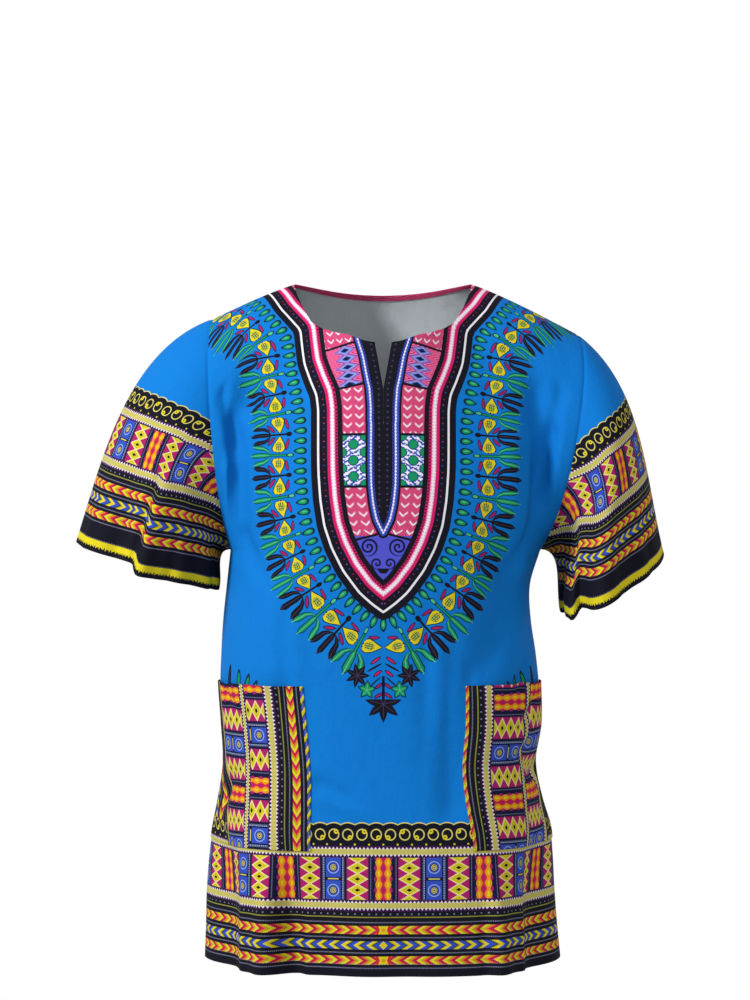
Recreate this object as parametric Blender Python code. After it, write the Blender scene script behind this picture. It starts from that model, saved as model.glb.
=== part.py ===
"""A dashiki shirt as it hangs when worn: front with a neck slit, back, two set-in sleeves and two patch pockets.

Metres, +Z up. The wearer faces -Y, with their right side at -X. The origin lies between the two points where
the shoulder seams meet the neck edge, which is where the wearer's shoulders carry the shirt.
"""

import math

import bpy
import numpy as np

# Driving dimensions
CLOTH = 0.0016
POCKET_CLOTH = 0.0014
SEAM_GAP = 0.0004
POCKET_GAP = 0.0004
HEM_Z = -0.731
ARMPIT_Z = -0.290
SIDE_SEAM_Y = 0.010
NECK_SHARE = 0.5
NECK_HALF = 0.0975
SLIT_TOP_HALF = 0.0093
SLIT_CLOSED_HALF = 0.0005
SLIT_OPEN_Z = -0.118
SLIT_END_Z = -0.154
SLIT_REACH = 0.070
SLIT_SPREAD_LIMIT = 1.3
FOLDS_FADE_FROM = 0.86
FRONT, BACK = -1, 1

# The torso's sections from hem to armpit, each a rounded box: half widths to the wearer's right and left,
# depths to the front and back of the side seams, and how square the section is (2 is an ellipse).
LEVEL_COLUMNS = ("z", "right", "left", "front", "back", "square")
LEVELS = (
    (-0.731, 0.194, 0.193, 0.150, 0.118, 2.75),
    (-0.700, 0.193, 0.190, 0.149, 0.118, 2.75),
    (-0.660, 0.192, 0.187, 0.147, 0.117, 2.70),
    (-0.620, 0.189, 0.185, 0.144, 0.116, 2.65),
    (-0.590, 0.185, 0.182, 0.142, 0.114, 2.60),
    (-0.560, 0.179, 0.173, 0.140, 0.111, 2.50),
    (-0.520, 0.173, 0.165, 0.138, 0.106, 2.45),
    (-0.475, 0.175, 0.171, 0.137, 0.101, 2.40),
    (-0.440, 0.177, 0.170, 0.137, 0.099, 2.40),
    (-0.400, 0.176, 0.166, 0.138, 0.100, 2.40),
    (-0.366, 0.174, 0.161, 0.139, 0.103, 2.40),
    (-0.327, 0.170, 0.160, 0.140, 0.107, 2.40),
    (-0.290, 0.166, 0.171, 0.141, 0.110, 2.35),
)

# How a column of cloth leaves the armpit level and reaches the top line, by its share of the half width:
# the two handles of its curve, each as steps outwards, away from the side seams, and up. The left shoulder
# hangs wider, so its steps outwards are longer.
SWEEP_COLUMNS = ("share", "out_low", "away_low", "up_low", "out_top", "away_top", "up_top")
FRONT_SWEEP = (
    (0.00, 0.000, 0.004, 0.090, 0.000, 0.058, -0.048),
    (0.30, 0.001, 0.006, 0.092, 0.003, 0.066, -0.046),
    (0.50, 0.003, 0.012, 0.095, 0.005, 0.084, -0.040),
    (0.75, 0.006, 0.040, 0.080, 0.004, 0.086, -0.020),
    (0.90, 0.010, 0.085, 0.048, 0.006, 0.090, -0.022),
    (1.00, 0.012, 0.108, 0.030, 0.008, 0.094, -0.024),
)
BACK_SWEEP = (
    (0.00, 0.000, 0.016, 0.100, 0.000, 0.070, -0.040),
    (0.30, 0.001, 0.017, 0.100, 0.002, 0.075, -0.038),
    (0.50, 0.003, 0.020, 0.098, 0.004, 0.086, -0.030),
    (0.75, 0.006, 0.044, 0.080, 0.004, 0.084, -0.022),
    (0.90, 0.008, 0.078, 0.048, 0.004, 0.086, -0.024),
    (1.00, 0.008, 0.096, 0.030, 0.004, 0.088, -0.026),
)
SIDE_OUTWARD = {"right": 1.0, "left": 2.0}

# The top line's middle, over the neck hole, and its ends, the sleeve heads
TOP_MIDDLE = {FRONT: (-0.055, 0.004), BACK: (0.056, 0.008)}
SHOULDER_TIP = {"right": (-0.186, 0.004, -0.038), "left": (0.212, 0.002, -0.055)}

# The front neck edge in front view, and how far the back one lies below the top line
NECK_EDGE_COLUMNS = ("x", "z")
NECK_EDGE = (
    (0.0000, -0.0690),
    (0.0100, -0.0675),
    (0.0310, -0.0605),
    (0.0500, -0.0575),
    (0.0650, -0.0530),
    (0.0765, -0.0460),
    (0.0860, -0.0297),
    (0.0935, -0.0125),
    (0.0975, 0.0000),
)
BACK_NECK_DROP = 0.10
NECK_SEARCH = (1.2, 2.0, 40)

# Folds of the body panels as soft ridges (out) and troughs (in), between two points of the flat cloth:
# across from the panel's centre line and up from the hem.
FOLD_COLUMNS = ("facing", "across_0", "up_0", "across_1", "up_1", "height", "width")
FOLDS = (
    (FRONT, -0.130, -0.04, -0.124, 0.130, 0.011, 0.014),
    (FRONT, -0.100, -0.04, -0.106, 0.150, -0.016, 0.013),
    (FRONT, -0.068, -0.04, -0.078, 0.200, -0.012, 0.036),
    (FRONT, -0.198, -0.04, -0.204, 0.200, -0.022, 0.040),
    (FRONT, 0.126, -0.04, 0.118, 0.130, 0.011, 0.014),
    (FRONT, 0.192, -0.04, 0.198, 0.200, -0.022, 0.040),
    (FRONT, 0.020, -0.04, 0.030, 0.090, -0.004, 0.026),
    (FRONT, 0.074, 0.150, 0.066, 0.345, -0.006, 0.016),
    (FRONT, 0.158, 0.420, 0.096, 0.300, -0.009, 0.018),
    (FRONT, -0.116, 0.300, -0.110, 0.450, 0.005, 0.020),
    (FRONT, -0.150, 0.640, -0.168, 0.440, -0.010, 0.014),
    (FRONT, -0.180, 0.560, -0.194, 0.420, 0.006, 0.014),
    (FRONT, 0.172, 0.640, 0.184, 0.450, -0.009, 0.015),
    (FRONT, 0.140, 0.580, 0.152, 0.420, 0.006, 0.018),
    (FRONT, 0.224, 0.200, 0.150, 0.235, -0.008, 0.013),
    (FRONT, -0.230, 0.170, -0.160, 0.215, -0.007, 0.012),
    (BACK, -0.030, -0.04, -0.050, 0.330, -0.010, 0.024),
    (BACK, 0.045, -0.04, 0.036, 0.370, 0.009, 0.026),
    (BACK, -0.125, -0.04, -0.112, 0.240, 0.012, 0.024),
    (BACK, 0.118, -0.04, 0.130, 0.210, -0.011, 0.022),
    (BACK, 0.172, -0.04, 0.165, 0.140, 0.009, 0.020),
    (BACK, -0.180, -0.04, -0.172, 0.150, -0.009, 0.020),
    (BACK, -0.148, 0.640, -0.168, 0.440, -0.010, 0.016),
    (BACK, 0.156, 0.650, 0.172, 0.450, -0.010, 0.016),
    (BACK, -0.212, 0.180, -0.120, 0.235, -0.008, 0.016),
    (BACK, 0.214, 0.190, 0.130, 0.225, -0.008, 0.015),
)

# Sleeves: the cuff ring's centre, its step to the outer edge and its step to the front edge, and the way
# the cloth leaves the armhole at the shoulder tip, the front, the armpit and the back.
CUFF = {
    "right": {"centre": (-0.256, -0.004, -0.306), "outer": (-0.078, 0.004, 0.026), "front": (0.004, -0.077, -0.006)},
    "left": {"centre": (0.250, 0.004, -0.324), "outer": (0.058, 0.016, 0.030), "front": (-0.006, -0.094, -0.018)},
}
SLEEVE_START = {
    "right": {"tip": (-0.95, 0.0, -0.34), "front": (-0.80, -0.30, -0.52), "armpit": (-0.97, 0.0, 0.0),
              "back": (-0.80, 0.30, -0.52)},
    "left": {"tip": (0.80, 0.0, -0.60), "front": (0.74, -0.36, -0.56), "armpit": (0.97, 0.0, 0.0),
             "back": (0.80, 0.30, -0.52)},
}
CUFF_WAY = {"right": (-0.30, 0.0, -0.95), "left": (0.24, 0.0, -0.97)}
SLEEVE_EASE = 0.012

# Folds of the sleeves: around from the shoulder tip (0.5 the front, 1 the armpit, 1.5 the back), at the
# armhole end and at the cuff, where along the sleeve they start, and their height and width around.
SLEEVE_FOLD_COLUMNS = ("side", "around_start", "around_cuff", "start", "height", "width")
SLEEVE_FOLDS = (
    ("right", 0.30, 0.33, 0.30, -0.014, 0.060),
    ("right", 0.47, 0.46, 0.25, 0.008, 0.080),
    ("right", 0.72, 0.74, 0.15, -0.007, 0.070),
    ("right", 1.36, 1.34, 0.25, -0.011, 0.090),
    ("right", 1.66, 1.62, 0.20, 0.009, 0.090),
    ("left", 0.30, 0.38, 0.25, -0.009, 0.070),
    ("left", 0.62, 0.70, 0.20, -0.010, 0.055),
    ("left", 0.50, 0.54, 0.20, 0.007, 0.080),
    ("left", 1.38, 1.36, 0.25, -0.010, 0.090),
    ("left", 1.66, 1.66, 0.20, 0.009, 0.090),
)

# The grid: columns by share of the half width, rows by height to the armpit and by share above it
FRONT_SHARES = (0.0, 0.05, 0.10, 0.15, 0.20, 0.25, 0.275, 0.30, 0.33, 0.36, 0.385, 0.41, 0.44, 0.47, 0.50,
                0.55, 0.60, 0.66, 0.72, 0.78, 0.84, 0.90, 0.95, 1.0)
BACK_SHARES = (0.0, 0.08, 0.16, 0.24, 0.32, 0.39, 0.45, 0.50, 0.55, 0.60, 0.66, 0.72, 0.78, 0.84, 0.90,
               0.95, 1.0)
LOWER_ROWS = (-0.731, -0.712, -0.690, -0.664, -0.638, -0.618, -0.602, -0.578, -0.555, -0.534, -0.513,
              -0.492, -0.471, -0.450, -0.431, -0.405, -0.380, -0.355, -0.330, -0.310, -0.290)
UPPER_ROWS = (0.07, 0.14, 0.22, 0.30, 0.38, 0.46, 0.54, 0.62, 0.70, 0.78, 0.86, 0.93, 1.0)
SLEEVE_ROWS = (0.0, 0.09, 0.20, 0.31, 0.42, 0.53, 0.64, 0.75, 0.87, 1.0)
POCKET_ROWS = (-0.602, -0.431)
POCKET_SHARES = {"right": (0.30, 0.95), "left": (0.33, 0.95)}

# Below the pockets' tops the columns near their inner edges lean in, so that those edges hang straight
LEAN_REACH = 0.30
POCKET_LEAN = {"right": 0.040, "left": 0.008}

# A seam's corner is never mitred past this, and each rim's diagonals lean one way, as its neighbour's do
SHARPEST_CORNER = 0.3
RIM_WAY = np.array([0.30, 0.50, 0.81])

# Cells of the net that cloth coordinates are read from, and the step that directions are measured with
NET = 160
STEP = 1e-3
SHARP_ANGLE = math.radians(50)

# Colours, roughness
BLUE = (0.010, 0.160, 0.570, 1.0)
BORDER = (0.020, 0.018, 0.030, 1.0)
ROUGHNESS = 0.85


def through(knots, values, at):
    """A smooth curve through a table's values, read at the given places."""
    knots, values, at = np.asarray(knots, float), np.asarray(values, float), np.asarray(at, float)
    slopes = np.gradient(values, knots)
    low = np.clip(np.searchsorted(knots, at, side="right") - 1, 0, len(knots) - 2)
    span = knots[low + 1] - knots[low]
    u = np.clip((at - knots[low]) / span, 0.0, 1.0)
    return (
        (1 + 2 * u) * (1 - u) ** 2 * values[low]
        + u * (1 - u) ** 2 * span * slopes[low]
        + u**2 * (3 - 2 * u) * values[low + 1]
        + u**2 * (u - 1) * span * slopes[low + 1]
    )


def column(rows, names, name):
    return [row[names.index(name)] for row in rows]


def ramp(low, high, value):
    u = np.clip((np.asarray(value, float) - low) / (high - low), 0.0, 1.0)
    return u * u * (3 - 2 * u)


def section(facing, share, z):
    """A point of the torso's section at height z. A share of -1 or 1 is at the wearer's right or left seam."""
    share, z = np.broadcast_arrays(np.asarray(share, float), np.asarray(z, float))
    read = {name: through(column(LEVELS, LEVEL_COLUMNS, "z"), column(LEVELS, LEVEL_COLUMNS, name), z)
            for name in LEVEL_COLUMNS[1:]}
    half = np.where(share < 0, read["right"], read["left"])
    depth = read["front"] if facing == FRONT else read["back"]
    angle = share * math.pi / 2
    across, along = np.sin(angle), np.abs(np.cos(angle))
    fit = (np.abs(across) ** read["square"] + along ** read["square"]) ** (-1 / read["square"])
    return np.stack([half * across * fit, SIDE_SEAM_Y + facing * depth * along * fit, z], axis=-1)


def top_line(facing, share):
    """The line that both panels end on: shoulder seams, and between them a line over the neck hole."""
    share = np.asarray(share, float)
    size, side = np.abs(share), np.sign(share)
    inside = np.clip(size / NECK_SHARE, 0.0, 1.0)
    outside = np.clip((size - NECK_SHARE) / (1 - NECK_SHARE), 0.0, 1.0)
    middle_y, middle_z = TOP_MIDDLE[facing]
    tip = np.where(side[..., None] < 0, SHOULDER_TIP["right"], SHOULDER_TIP["left"])
    x = side * NECK_HALF * inside + (tip[..., 0] - side * NECK_HALF) * outside
    y = middle_y * (1 - inside**2) ** 1.5 + tip[..., 1] * outside
    z = middle_z * (1 - inside**2) ** 1.5 + tip[..., 2] * outside**1.12
    return np.stack([x, y, z], axis=-1)


def sweep(facing, share, u):
    """The cloth above the armpits: each column is one curve from the section there to the top line."""
    share, u = np.broadcast_arrays(np.asarray(share, float), np.asarray(u, float))
    rows = FRONT_SWEEP if facing == FRONT else BACK_SWEEP
    read = {name: through(column(rows, SWEEP_COLUMNS, "share"), column(rows, SWEEP_COLUMNS, name), np.abs(share))
            for name in SWEEP_COLUMNS[1:]}
    side = np.sign(share) * np.where(share < 0, SIDE_OUTWARD["right"], SIDE_OUTWARD["left"])
    start, end = section(facing, share, ARMPIT_Z), top_line(facing, share)
    low = start + np.stack([side * read["out_low"], facing * read["away_low"], read["up_low"]], axis=-1)
    top = end + np.stack([side * read["out_top"], facing * read["away_top"], read["up_top"]], axis=-1)
    u = u[..., None]
    return (1 - u) ** 3 * start + 3 * (1 - u) ** 2 * u * low + 3 * (1 - u) * u**2 * top + u**3 * end


def body(facing, share, row):
    """The smooth body form. Row 0 is the hem, 1 the armpits, 2 the top line."""
    share, row = np.broadcast_arrays(np.asarray(share, float), np.asarray(row, float))
    lower = section(facing, share, HEM_Z + (ARMPIT_Z - HEM_Z) * np.minimum(row, 1.0))
    upper = sweep(facing, share, np.clip(row - 1, 0.0, 1.0))
    return np.where((row <= 1)[..., None], lower, upper)


def flat_tables(facing):
    """The panel's cloth coordinates on a fine net: across from the centre line, and up from the hem."""
    shares, rows = np.linspace(-1, 1, NET + 1), np.linspace(0, 2, NET + 1)
    net = body(facing, shares[None, :], rows[:, None])
    steps = np.linalg.norm(np.diff(net, axis=1), axis=2)
    across = np.concatenate([np.zeros((len(rows), 1)), np.cumsum(steps, axis=1)], axis=1)
    across -= across[:, [NET // 2]]
    rises = np.linalg.norm(np.diff(net, axis=0), axis=2)
    up = np.concatenate([np.zeros((1, len(shares))), np.cumsum(rises, axis=0)], axis=0)
    return across, up


FLAT = {facing: flat_tables(facing) for facing in (FRONT, BACK)}


def flat(facing, share, row):
    """Cloth coordinates of points of the form, read from the net."""
    share, row = np.broadcast_arrays(np.asarray(share, float), np.asarray(row, float))
    i, j = (share + 1) * NET / 2, row * NET / 2
    i0, j0 = np.clip(i.astype(int), 0, NET - 1), np.clip(j.astype(int), 0, NET - 1)
    a, b = i - i0, j - j0
    return tuple(
        (1 - b) * ((1 - a) * table[j0, i0] + a * table[j0, i0 + 1])
        + b * ((1 - a) * table[j0 + 1, i0] + a * table[j0 + 1, i0 + 1])
        for table in FLAT[facing]
    )


def relief(facing, across, up):
    """How far the folds move the cloth out of the smooth form."""
    total = np.zeros(np.shape(across))
    for fold in FOLDS:
        row = dict(zip(FOLD_COLUMNS, fold))
        if row["facing"] != facing:
            continue
        run = np.array([row["across_1"] - row["across_0"], row["up_1"] - row["up_0"]])
        length = np.linalg.norm(run)
        run /= length
        x, y = across - row["across_0"], up - row["up_0"]
        along = (x * run[0] + y * run[1]) / length
        off = (x * run[1] - y * run[0]) / row["width"]
        ends = ramp(-0.05, 0.15, along) * (1 - ramp(0.45, 1.10, along))
        total += row["height"] * np.exp(-(off**2)) * ends
    return total


def outwards(facing, share, row):
    """The form's outward direction, from small steps along both of its lines."""
    share, row = np.clip(share, -1 + STEP, 1 - STEP), np.clip(row, STEP, 2 - STEP)
    along = body(facing, share + STEP, row) - body(facing, share - STEP, row)
    up = body(facing, share, row + STEP) - body(facing, share, row - STEP)
    normal = np.cross(along, up) * -facing
    return normal / np.linalg.norm(normal, axis=-1, keepdims=True)


def slit_half(z):
    """Half the width of the neck slit at height z: a V above a stretch that hangs nearly shut."""
    top = NECK_EDGE[0][1]
    spread = np.clip((z - SLIT_OPEN_Z) / (top - SLIT_OPEN_Z), 0.0, SLIT_SPREAD_LIMIT)
    return np.where(z > SLIT_END_Z, SLIT_CLOSED_HALF + (SLIT_TOP_HALF - SLIT_CLOSED_HALF) * spread, 0.0)


def panel(facing, share, row, half=0):
    """A point of a body panel with its folds. Half is -1 or 1 on the two halves beside the slit."""
    across, up = flat(facing, share, row)
    lift = relief(facing, across, up) * (1 - ramp(FOLDS_FADE_FROM, 1.0, np.abs(share)))
    point = body(facing, share, row) + outwards(facing, share, row) * lift[..., None]
    if facing == FRONT:
        beside = np.clip(1 - (across / SLIT_REACH) ** 2, 0.0, 1.0) ** 2
        point[..., 0] += half * slit_half(point[..., 2]) * beside
    return point


def neck_row(facing, share):
    """The row at which a column of cloth ends: on the shoulder seam, or at the neck edge."""
    if abs(share) >= NECK_SHARE:
        return 2.0
    if facing == BACK:
        return 2.0 - BACK_NECK_DROP * (1 - (share / NECK_SHARE) ** 2)
    low, high, halvings = NECK_SEARCH
    edge_x, edge_z = column(NECK_EDGE, NECK_EDGE_COLUMNS, "x"), column(NECK_EDGE, NECK_EDGE_COLUMNS, "z")
    for _ in range(halvings):
        middle = (low + high) / 2
        x, _, z = body(facing, share, middle)
        low, high = (middle, high) if z < np.interp(abs(x), edge_x, edge_z) else (low, middle)
    return (low + high) / 2


def rows_of(facing, share):
    """The rows of a column's points."""
    lower = [(z - HEM_Z) / (ARMPIT_Z - HEM_Z) for z in LOWER_ROWS]
    return lower + [1 + u * (neck_row(facing, share) - 1) for u in UPPER_ROWS]


def leaned(share, row):
    """The shares of the front's columns, moved in beside the pockets' inner edges."""
    bottom, top = ((z - HEM_Z) / (ARMPIT_Z - HEM_Z) for z in POCKET_ROWS)
    side = np.where(share < 0, "right", "left")
    edge = np.where(side == "right", POCKET_SHARES["right"][0], POCKET_SHARES["left"][0])
    lean = np.where(side == "right", POCKET_LEAN["right"], POCKET_LEAN["left"])
    near = np.clip(1 - ((np.abs(share) - edge) / LEAN_REACH) ** 2, 0.0, 1.0) ** 2
    low = np.clip((top - row) / (top - bottom), 0.0, 1.0)
    return share - np.sign(share) * lean * near * low


def half_grid(facing, shares, half):
    """Points of one half of a panel, one row of the array for each row of cloth."""
    rows = np.array([rows_of(facing, share) for share in shares]).T
    shares = np.broadcast_to(shares, rows.shape)
    return panel(facing, leaned(shares, rows) if facing == FRONT else shares, rows, half)


def mirrored(shares):
    return [-share for share in reversed(shares[1:])] + list(shares)


def sleeve_grid(side, armhole):
    """A sleeve's points, one row of the array for each ring. The armhole runs from the tip by the front."""
    count = len(armhole)
    around = 2 * np.arange(count) / count
    angle = math.pi * around
    cuff, start = CUFF[side], {k: np.array(v) for k, v in SLEEVE_START[side].items()}
    end = (
        np.array(cuff["centre"])
        + np.cos(angle)[:, None] * np.array(cuff["outer"])
        + np.sin(angle)[:, None] * np.array(cuff["front"])
    )
    tip, armpit = np.clip(np.cos(angle), 0, 1), np.clip(-np.cos(angle), 0, 1)
    front, back = np.clip(np.sin(angle), 0, 1), np.clip(-np.sin(angle), 0, 1)
    leave = (
        (tip**2)[:, None] * start["tip"]
        + (armpit**2)[:, None] * start["armpit"]
        + (front**2)[:, None] * start["front"]
        + (back**2)[:, None] * start["back"]
    )
    chord = np.linalg.norm(end - armhole, axis=1)[:, None]
    arrive = np.array(CUFF_WAY[side]) * chord
    leave *= chord + SLEEVE_EASE
    u = np.array(SLEEVE_ROWS)[:, None, None]
    rings = (
        (1 + 2 * u) * (1 - u) ** 2 * armhole
        + u * (1 - u) ** 2 * leave
        + u**2 * (3 - 2 * u) * end
        + u**2 * (u - 1) * arrive
    )
    return rings + sleeve_relief(side, around, rings)


def sleeve_relief(side, around, rings):
    """The sleeve's folds, as steps away from each ring's middle."""
    u = np.array(SLEEVE_ROWS)[:, None]
    lift = np.zeros(rings.shape[:2])
    for fold in SLEEVE_FOLDS:
        row = dict(zip(SLEEVE_FOLD_COLUMNS, fold))
        if row["side"] != side:
            continue
        place = row["around_start"] + (row["around_cuff"] - row["around_start"]) * u
        off = (around[None, :] - place + 1) % 2 - 1
        lift += row["height"] * np.exp(-((off / row["width"]) ** 2)) * ramp(row["start"], 1.0, u)
    away = rings - rings.mean(axis=1, keepdims=True)
    return away / np.linalg.norm(away, axis=2, keepdims=True) * lift[..., None]


def grid_faces(count_rows, count_columns, closed=False):
    """Triangles of a grid, whose points run along its rows. Closed joins the last column to the first."""
    faces = []
    for j in range(count_rows - 1):
        for i in range(count_columns - (0 if closed else 1)):
            k = (i + 1) % count_columns
            a, b = j * count_columns + i, j * count_columns + k
            c, d = a + count_columns, b + count_columns
            faces += [(a, b, d), (a, d, c)]
    return faces


def sheet_normals(points, faces):
    """Area-weighted directions at the points of the whole shirt, with the points of a seam as one."""
    _, same = np.unique(np.round(points, 6), axis=0, return_inverse=True)
    same = same.reshape(-1)
    corners = points[faces]
    face_normals = np.cross(corners[:, 1] - corners[:, 0], corners[:, 2] - corners[:, 0])
    total = np.zeros((same.max() + 1, 3))
    for k in range(3):
        np.add.at(total, same[faces[:, k]], face_normals)
    total /= np.linalg.norm(total, axis=1, keepdims=True)
    return total[same]


def free_edges(faces):
    """The edges that only one triangle has, in that triangle's direction."""
    edges = {(a, b) for face in faces for a, b in zip(face, (face[1], face[2], face[0]))}
    return [(a, b) for a, b in edges if (b, a) not in edges]


def drawn_back(points, normals, faces):
    """The panel with its edges moved in by half a seam's gap, square to each edge and along the cloth."""
    inwards = [[] for _ in points]
    for a, b in sorted(free_edges(faces)):
        step = np.cross((normals[a] + normals[b]) / 2, points[b] - points[a])
        for corner in (a, b):
            inwards[corner].append(step / np.linalg.norm(step))
    moved = points.copy()
    for corner, steps in enumerate(inwards):
        if steps:
            opening = max(1 + float(steps[0] @ steps[-1]), SHARPEST_CORNER)
            moved[corner] += (steps[0] + steps[-1]) / opening * SEAM_GAP / 2
    return moved


def wall(name, points, normals, faces, outer, inner, colour):
    """A closed wall: the sheet moved out and in along its normals, and closed along its free edges."""
    count = len(points)
    solid = np.concatenate([points + normals * outer, points + normals * inner])
    sides = []
    for a, b in sorted(free_edges(faces)):
        if (points[a] - points[b]) @ RIM_WAY > 0:
            sides += [(b, a, a + count), (b, a + count, b + count)]
        else:
            sides += [(b, a, b + count), (a, a + count, b + count)]
    inside = [(a + count, c + count, b + count) for a, b, c in faces]
    mesh = bpy.data.meshes.new(name)
    mesh.from_pydata(solid.tolist(), [], list(faces) + inside + sides)
    mesh.shade_smooth()
    mesh.set_sharp_from_angle(angle=SHARP_ANGLE)
    mesh.materials.append(colour)
    bpy.context.scene.collection.objects.link(bpy.data.objects.new(name, mesh))


def cloth_material(name, colour):
    made = bpy.data.materials.new(name)
    made.use_nodes = True
    shader = made.node_tree.nodes["Principled BSDF"]
    shader.inputs["Base Color"].default_value = colour
    shader.inputs["Roughness"].default_value = ROUGHNESS
    shader.inputs["Metallic"].default_value = 0.0
    return made


def front_sheet():
    """The front's two halves as grids, and its points and triangles, open along the slit."""
    right = half_grid(FRONT, [-share for share in reversed(FRONT_SHARES)], -1)
    left = half_grid(FRONT, list(FRONT_SHARES), 1)
    sewn = left[:, 0, 2] <= SLIT_END_Z
    left[sewn, 0] = right[sewn, -1]
    rows, columns = right.shape[:2]
    right_index = np.arange(rows * columns).reshape(rows, columns)
    left_index = right_index + rows * columns
    left_index[sewn, 0] = right_index[sewn, -1]
    grid = np.array(grid_faces(rows, columns))
    faces = np.concatenate([right_index.reshape(-1)[grid], left_index.reshape(-1)[grid]])
    return right, left, np.concatenate([right.reshape(-1, 3), left.reshape(-1, 3)]), faces


def shirt_sheets():
    """Each panel's points and triangles, facing out, and the front's two grids."""
    right, left, front_points, front_faces = front_sheet()
    back = half_grid(BACK, mirrored(BACK_SHARES), 0)
    sheets = {
        "front": (front_points, front_faces),
        "back": (back.reshape(-1, 3), np.array(grid_faces(*back.shape[:2]))[:, [0, 2, 1]]),
    }
    armhole_rows = slice(len(LOWER_ROWS) - 1, None)
    for side, half, edge in (("right", right, 0), ("left", left, -1)):
        down_front = half[armhole_rows, edge][::-1]
        up_back = back[armhole_rows, edge][1:-1]
        sleeve = sleeve_grid(side, np.concatenate([down_front, up_back]))
        faces = np.array(grid_faces(*sleeve.shape[:2], closed=True))
        sheets[f"sleeve_{side}"] = (sleeve.reshape(-1, 3), faces if side == "left" else faces[:, [0, 2, 1]])
    return sheets, right, left


def shirt_normals(sheets):
    """Outward directions at each panel's points."""
    offsets = np.cumsum([0] + [len(points) for points, _ in sheets.values()])
    points = np.concatenate([points for points, _ in sheets.values()])
    faces = np.concatenate([faces + start for (_, faces), start in zip(sheets.values(), offsets)])
    normals = sheet_normals(points, faces)
    return {name: normals[start:end] for name, start, end in zip(sheets, offsets[:-1], offsets[1:])}


def make_panels(sheets, normals, colour):
    for name, (points, faces) in sheets.items():
        used, faces = np.unique(faces, return_inverse=True)
        faces = faces.reshape(-1, 3).tolist()
        direction = normals[name][used]
        wall(name, drawn_back(points[used], direction, faces), direction, faces, CLOTH / 2, -CLOTH / 2, colour)


def make_pockets(halves, normals, colour):
    """Pockets, whose points are the front's own, moved out."""
    low_row, high_row = (LOWER_ROWS.index(z) for z in POCKET_ROWS)
    inner_face = CLOTH / 2 + POCKET_GAP
    outwards_of = dict(zip(halves, normals.reshape(2, *halves["right"].shape)))
    for side, half in halves.items():
        shares = [-share for share in reversed(FRONT_SHARES)] if side == "right" else list(FRONT_SHARES)
        inner_share, outer_share = POCKET_SHARES[side]
        wanted = [i for i, share in enumerate(shares) if inner_share <= abs(share) <= outer_share]
        pick = np.ix_(range(low_row, high_row + 1), wanted)
        points, direction = half[pick].reshape(-1, 3), outwards_of[side][pick].reshape(-1, 3)
        faces = grid_faces(high_row - low_row + 1, len(wanted))
        wall(f"pocket_{side}", points, direction, faces, inner_face + POCKET_CLOTH, inner_face, colour)


def main():
    for old in list(bpy.data.objects):
        bpy.data.objects.remove(old)
    sheets, right, left = shirt_sheets()
    normals = shirt_normals(sheets)
    make_panels(sheets, normals, cloth_material("blue_cotton", BLUE))
    make_pockets({"right": right, "left": left}, normals["front"], cloth_material("border_cotton", BORDER))


main()
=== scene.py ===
"""The looks of the dashiki shirt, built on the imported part's forms.

Metres, +Z up. The wearer faces -Y, with their right side at -X, as in the part. The tables and functions that
give the form repeat the part's own. Cloth here is a thin shell in the middle of the part's wall, and nodes draw
its print from coordinates that lie in the flat cloth.
"""

import math

import bpy
import numpy as np
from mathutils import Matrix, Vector

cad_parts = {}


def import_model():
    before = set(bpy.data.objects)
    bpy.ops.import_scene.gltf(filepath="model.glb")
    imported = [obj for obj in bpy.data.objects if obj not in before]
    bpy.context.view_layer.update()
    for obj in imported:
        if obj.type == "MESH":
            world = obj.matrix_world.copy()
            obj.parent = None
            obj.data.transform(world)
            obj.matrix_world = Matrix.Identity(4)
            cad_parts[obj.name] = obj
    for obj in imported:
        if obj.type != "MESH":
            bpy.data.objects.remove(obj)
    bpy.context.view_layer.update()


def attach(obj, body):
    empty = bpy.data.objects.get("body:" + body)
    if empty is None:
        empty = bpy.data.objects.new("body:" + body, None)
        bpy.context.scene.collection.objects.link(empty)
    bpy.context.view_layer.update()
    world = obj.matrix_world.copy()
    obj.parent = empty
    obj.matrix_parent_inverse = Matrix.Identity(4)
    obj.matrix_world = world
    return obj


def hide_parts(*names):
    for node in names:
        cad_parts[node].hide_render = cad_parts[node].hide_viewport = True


# The part's form
HEM_Z = -0.731
ARMPIT_Z = -0.290
SIDE_SEAM_Y = 0.010
NECK_SHARE = 0.5
NECK_HALF = 0.0975
SLIT_TOP_HALF = 0.0093
SLIT_CLOSED_HALF = 0.0005
SLIT_OPEN_Z = -0.118
SLIT_END_Z = -0.154
SLIT_REACH = 0.070
SLIT_SPREAD_LIMIT = 1.3
FOLDS_FADE_FROM = 0.86
FRONT, BACK = -1, 1
SIDES = {"right": -1, "left": 1}

LEVEL_COLUMNS = ("z", "right", "left", "front", "back", "square")
LEVELS = (
    (-0.731, 0.194, 0.193, 0.150, 0.118, 2.75),
    (-0.700, 0.193, 0.190, 0.149, 0.118, 2.75),
    (-0.660, 0.192, 0.187, 0.147, 0.117, 2.70),
    (-0.620, 0.189, 0.185, 0.144, 0.116, 2.65),
    (-0.590, 0.185, 0.182, 0.142, 0.114, 2.60),
    (-0.560, 0.179, 0.173, 0.140, 0.111, 2.50),
    (-0.520, 0.173, 0.165, 0.138, 0.106, 2.45),
    (-0.475, 0.175, 0.171, 0.137, 0.101, 2.40),
    (-0.440, 0.177, 0.170, 0.137, 0.099, 2.40),
    (-0.400, 0.176, 0.166, 0.138, 0.100, 2.40),
    (-0.366, 0.174, 0.161, 0.139, 0.103, 2.40),
    (-0.327, 0.170, 0.160, 0.140, 0.107, 2.40),
    (-0.290, 0.166, 0.171, 0.141, 0.110, 2.35),
)

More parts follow.
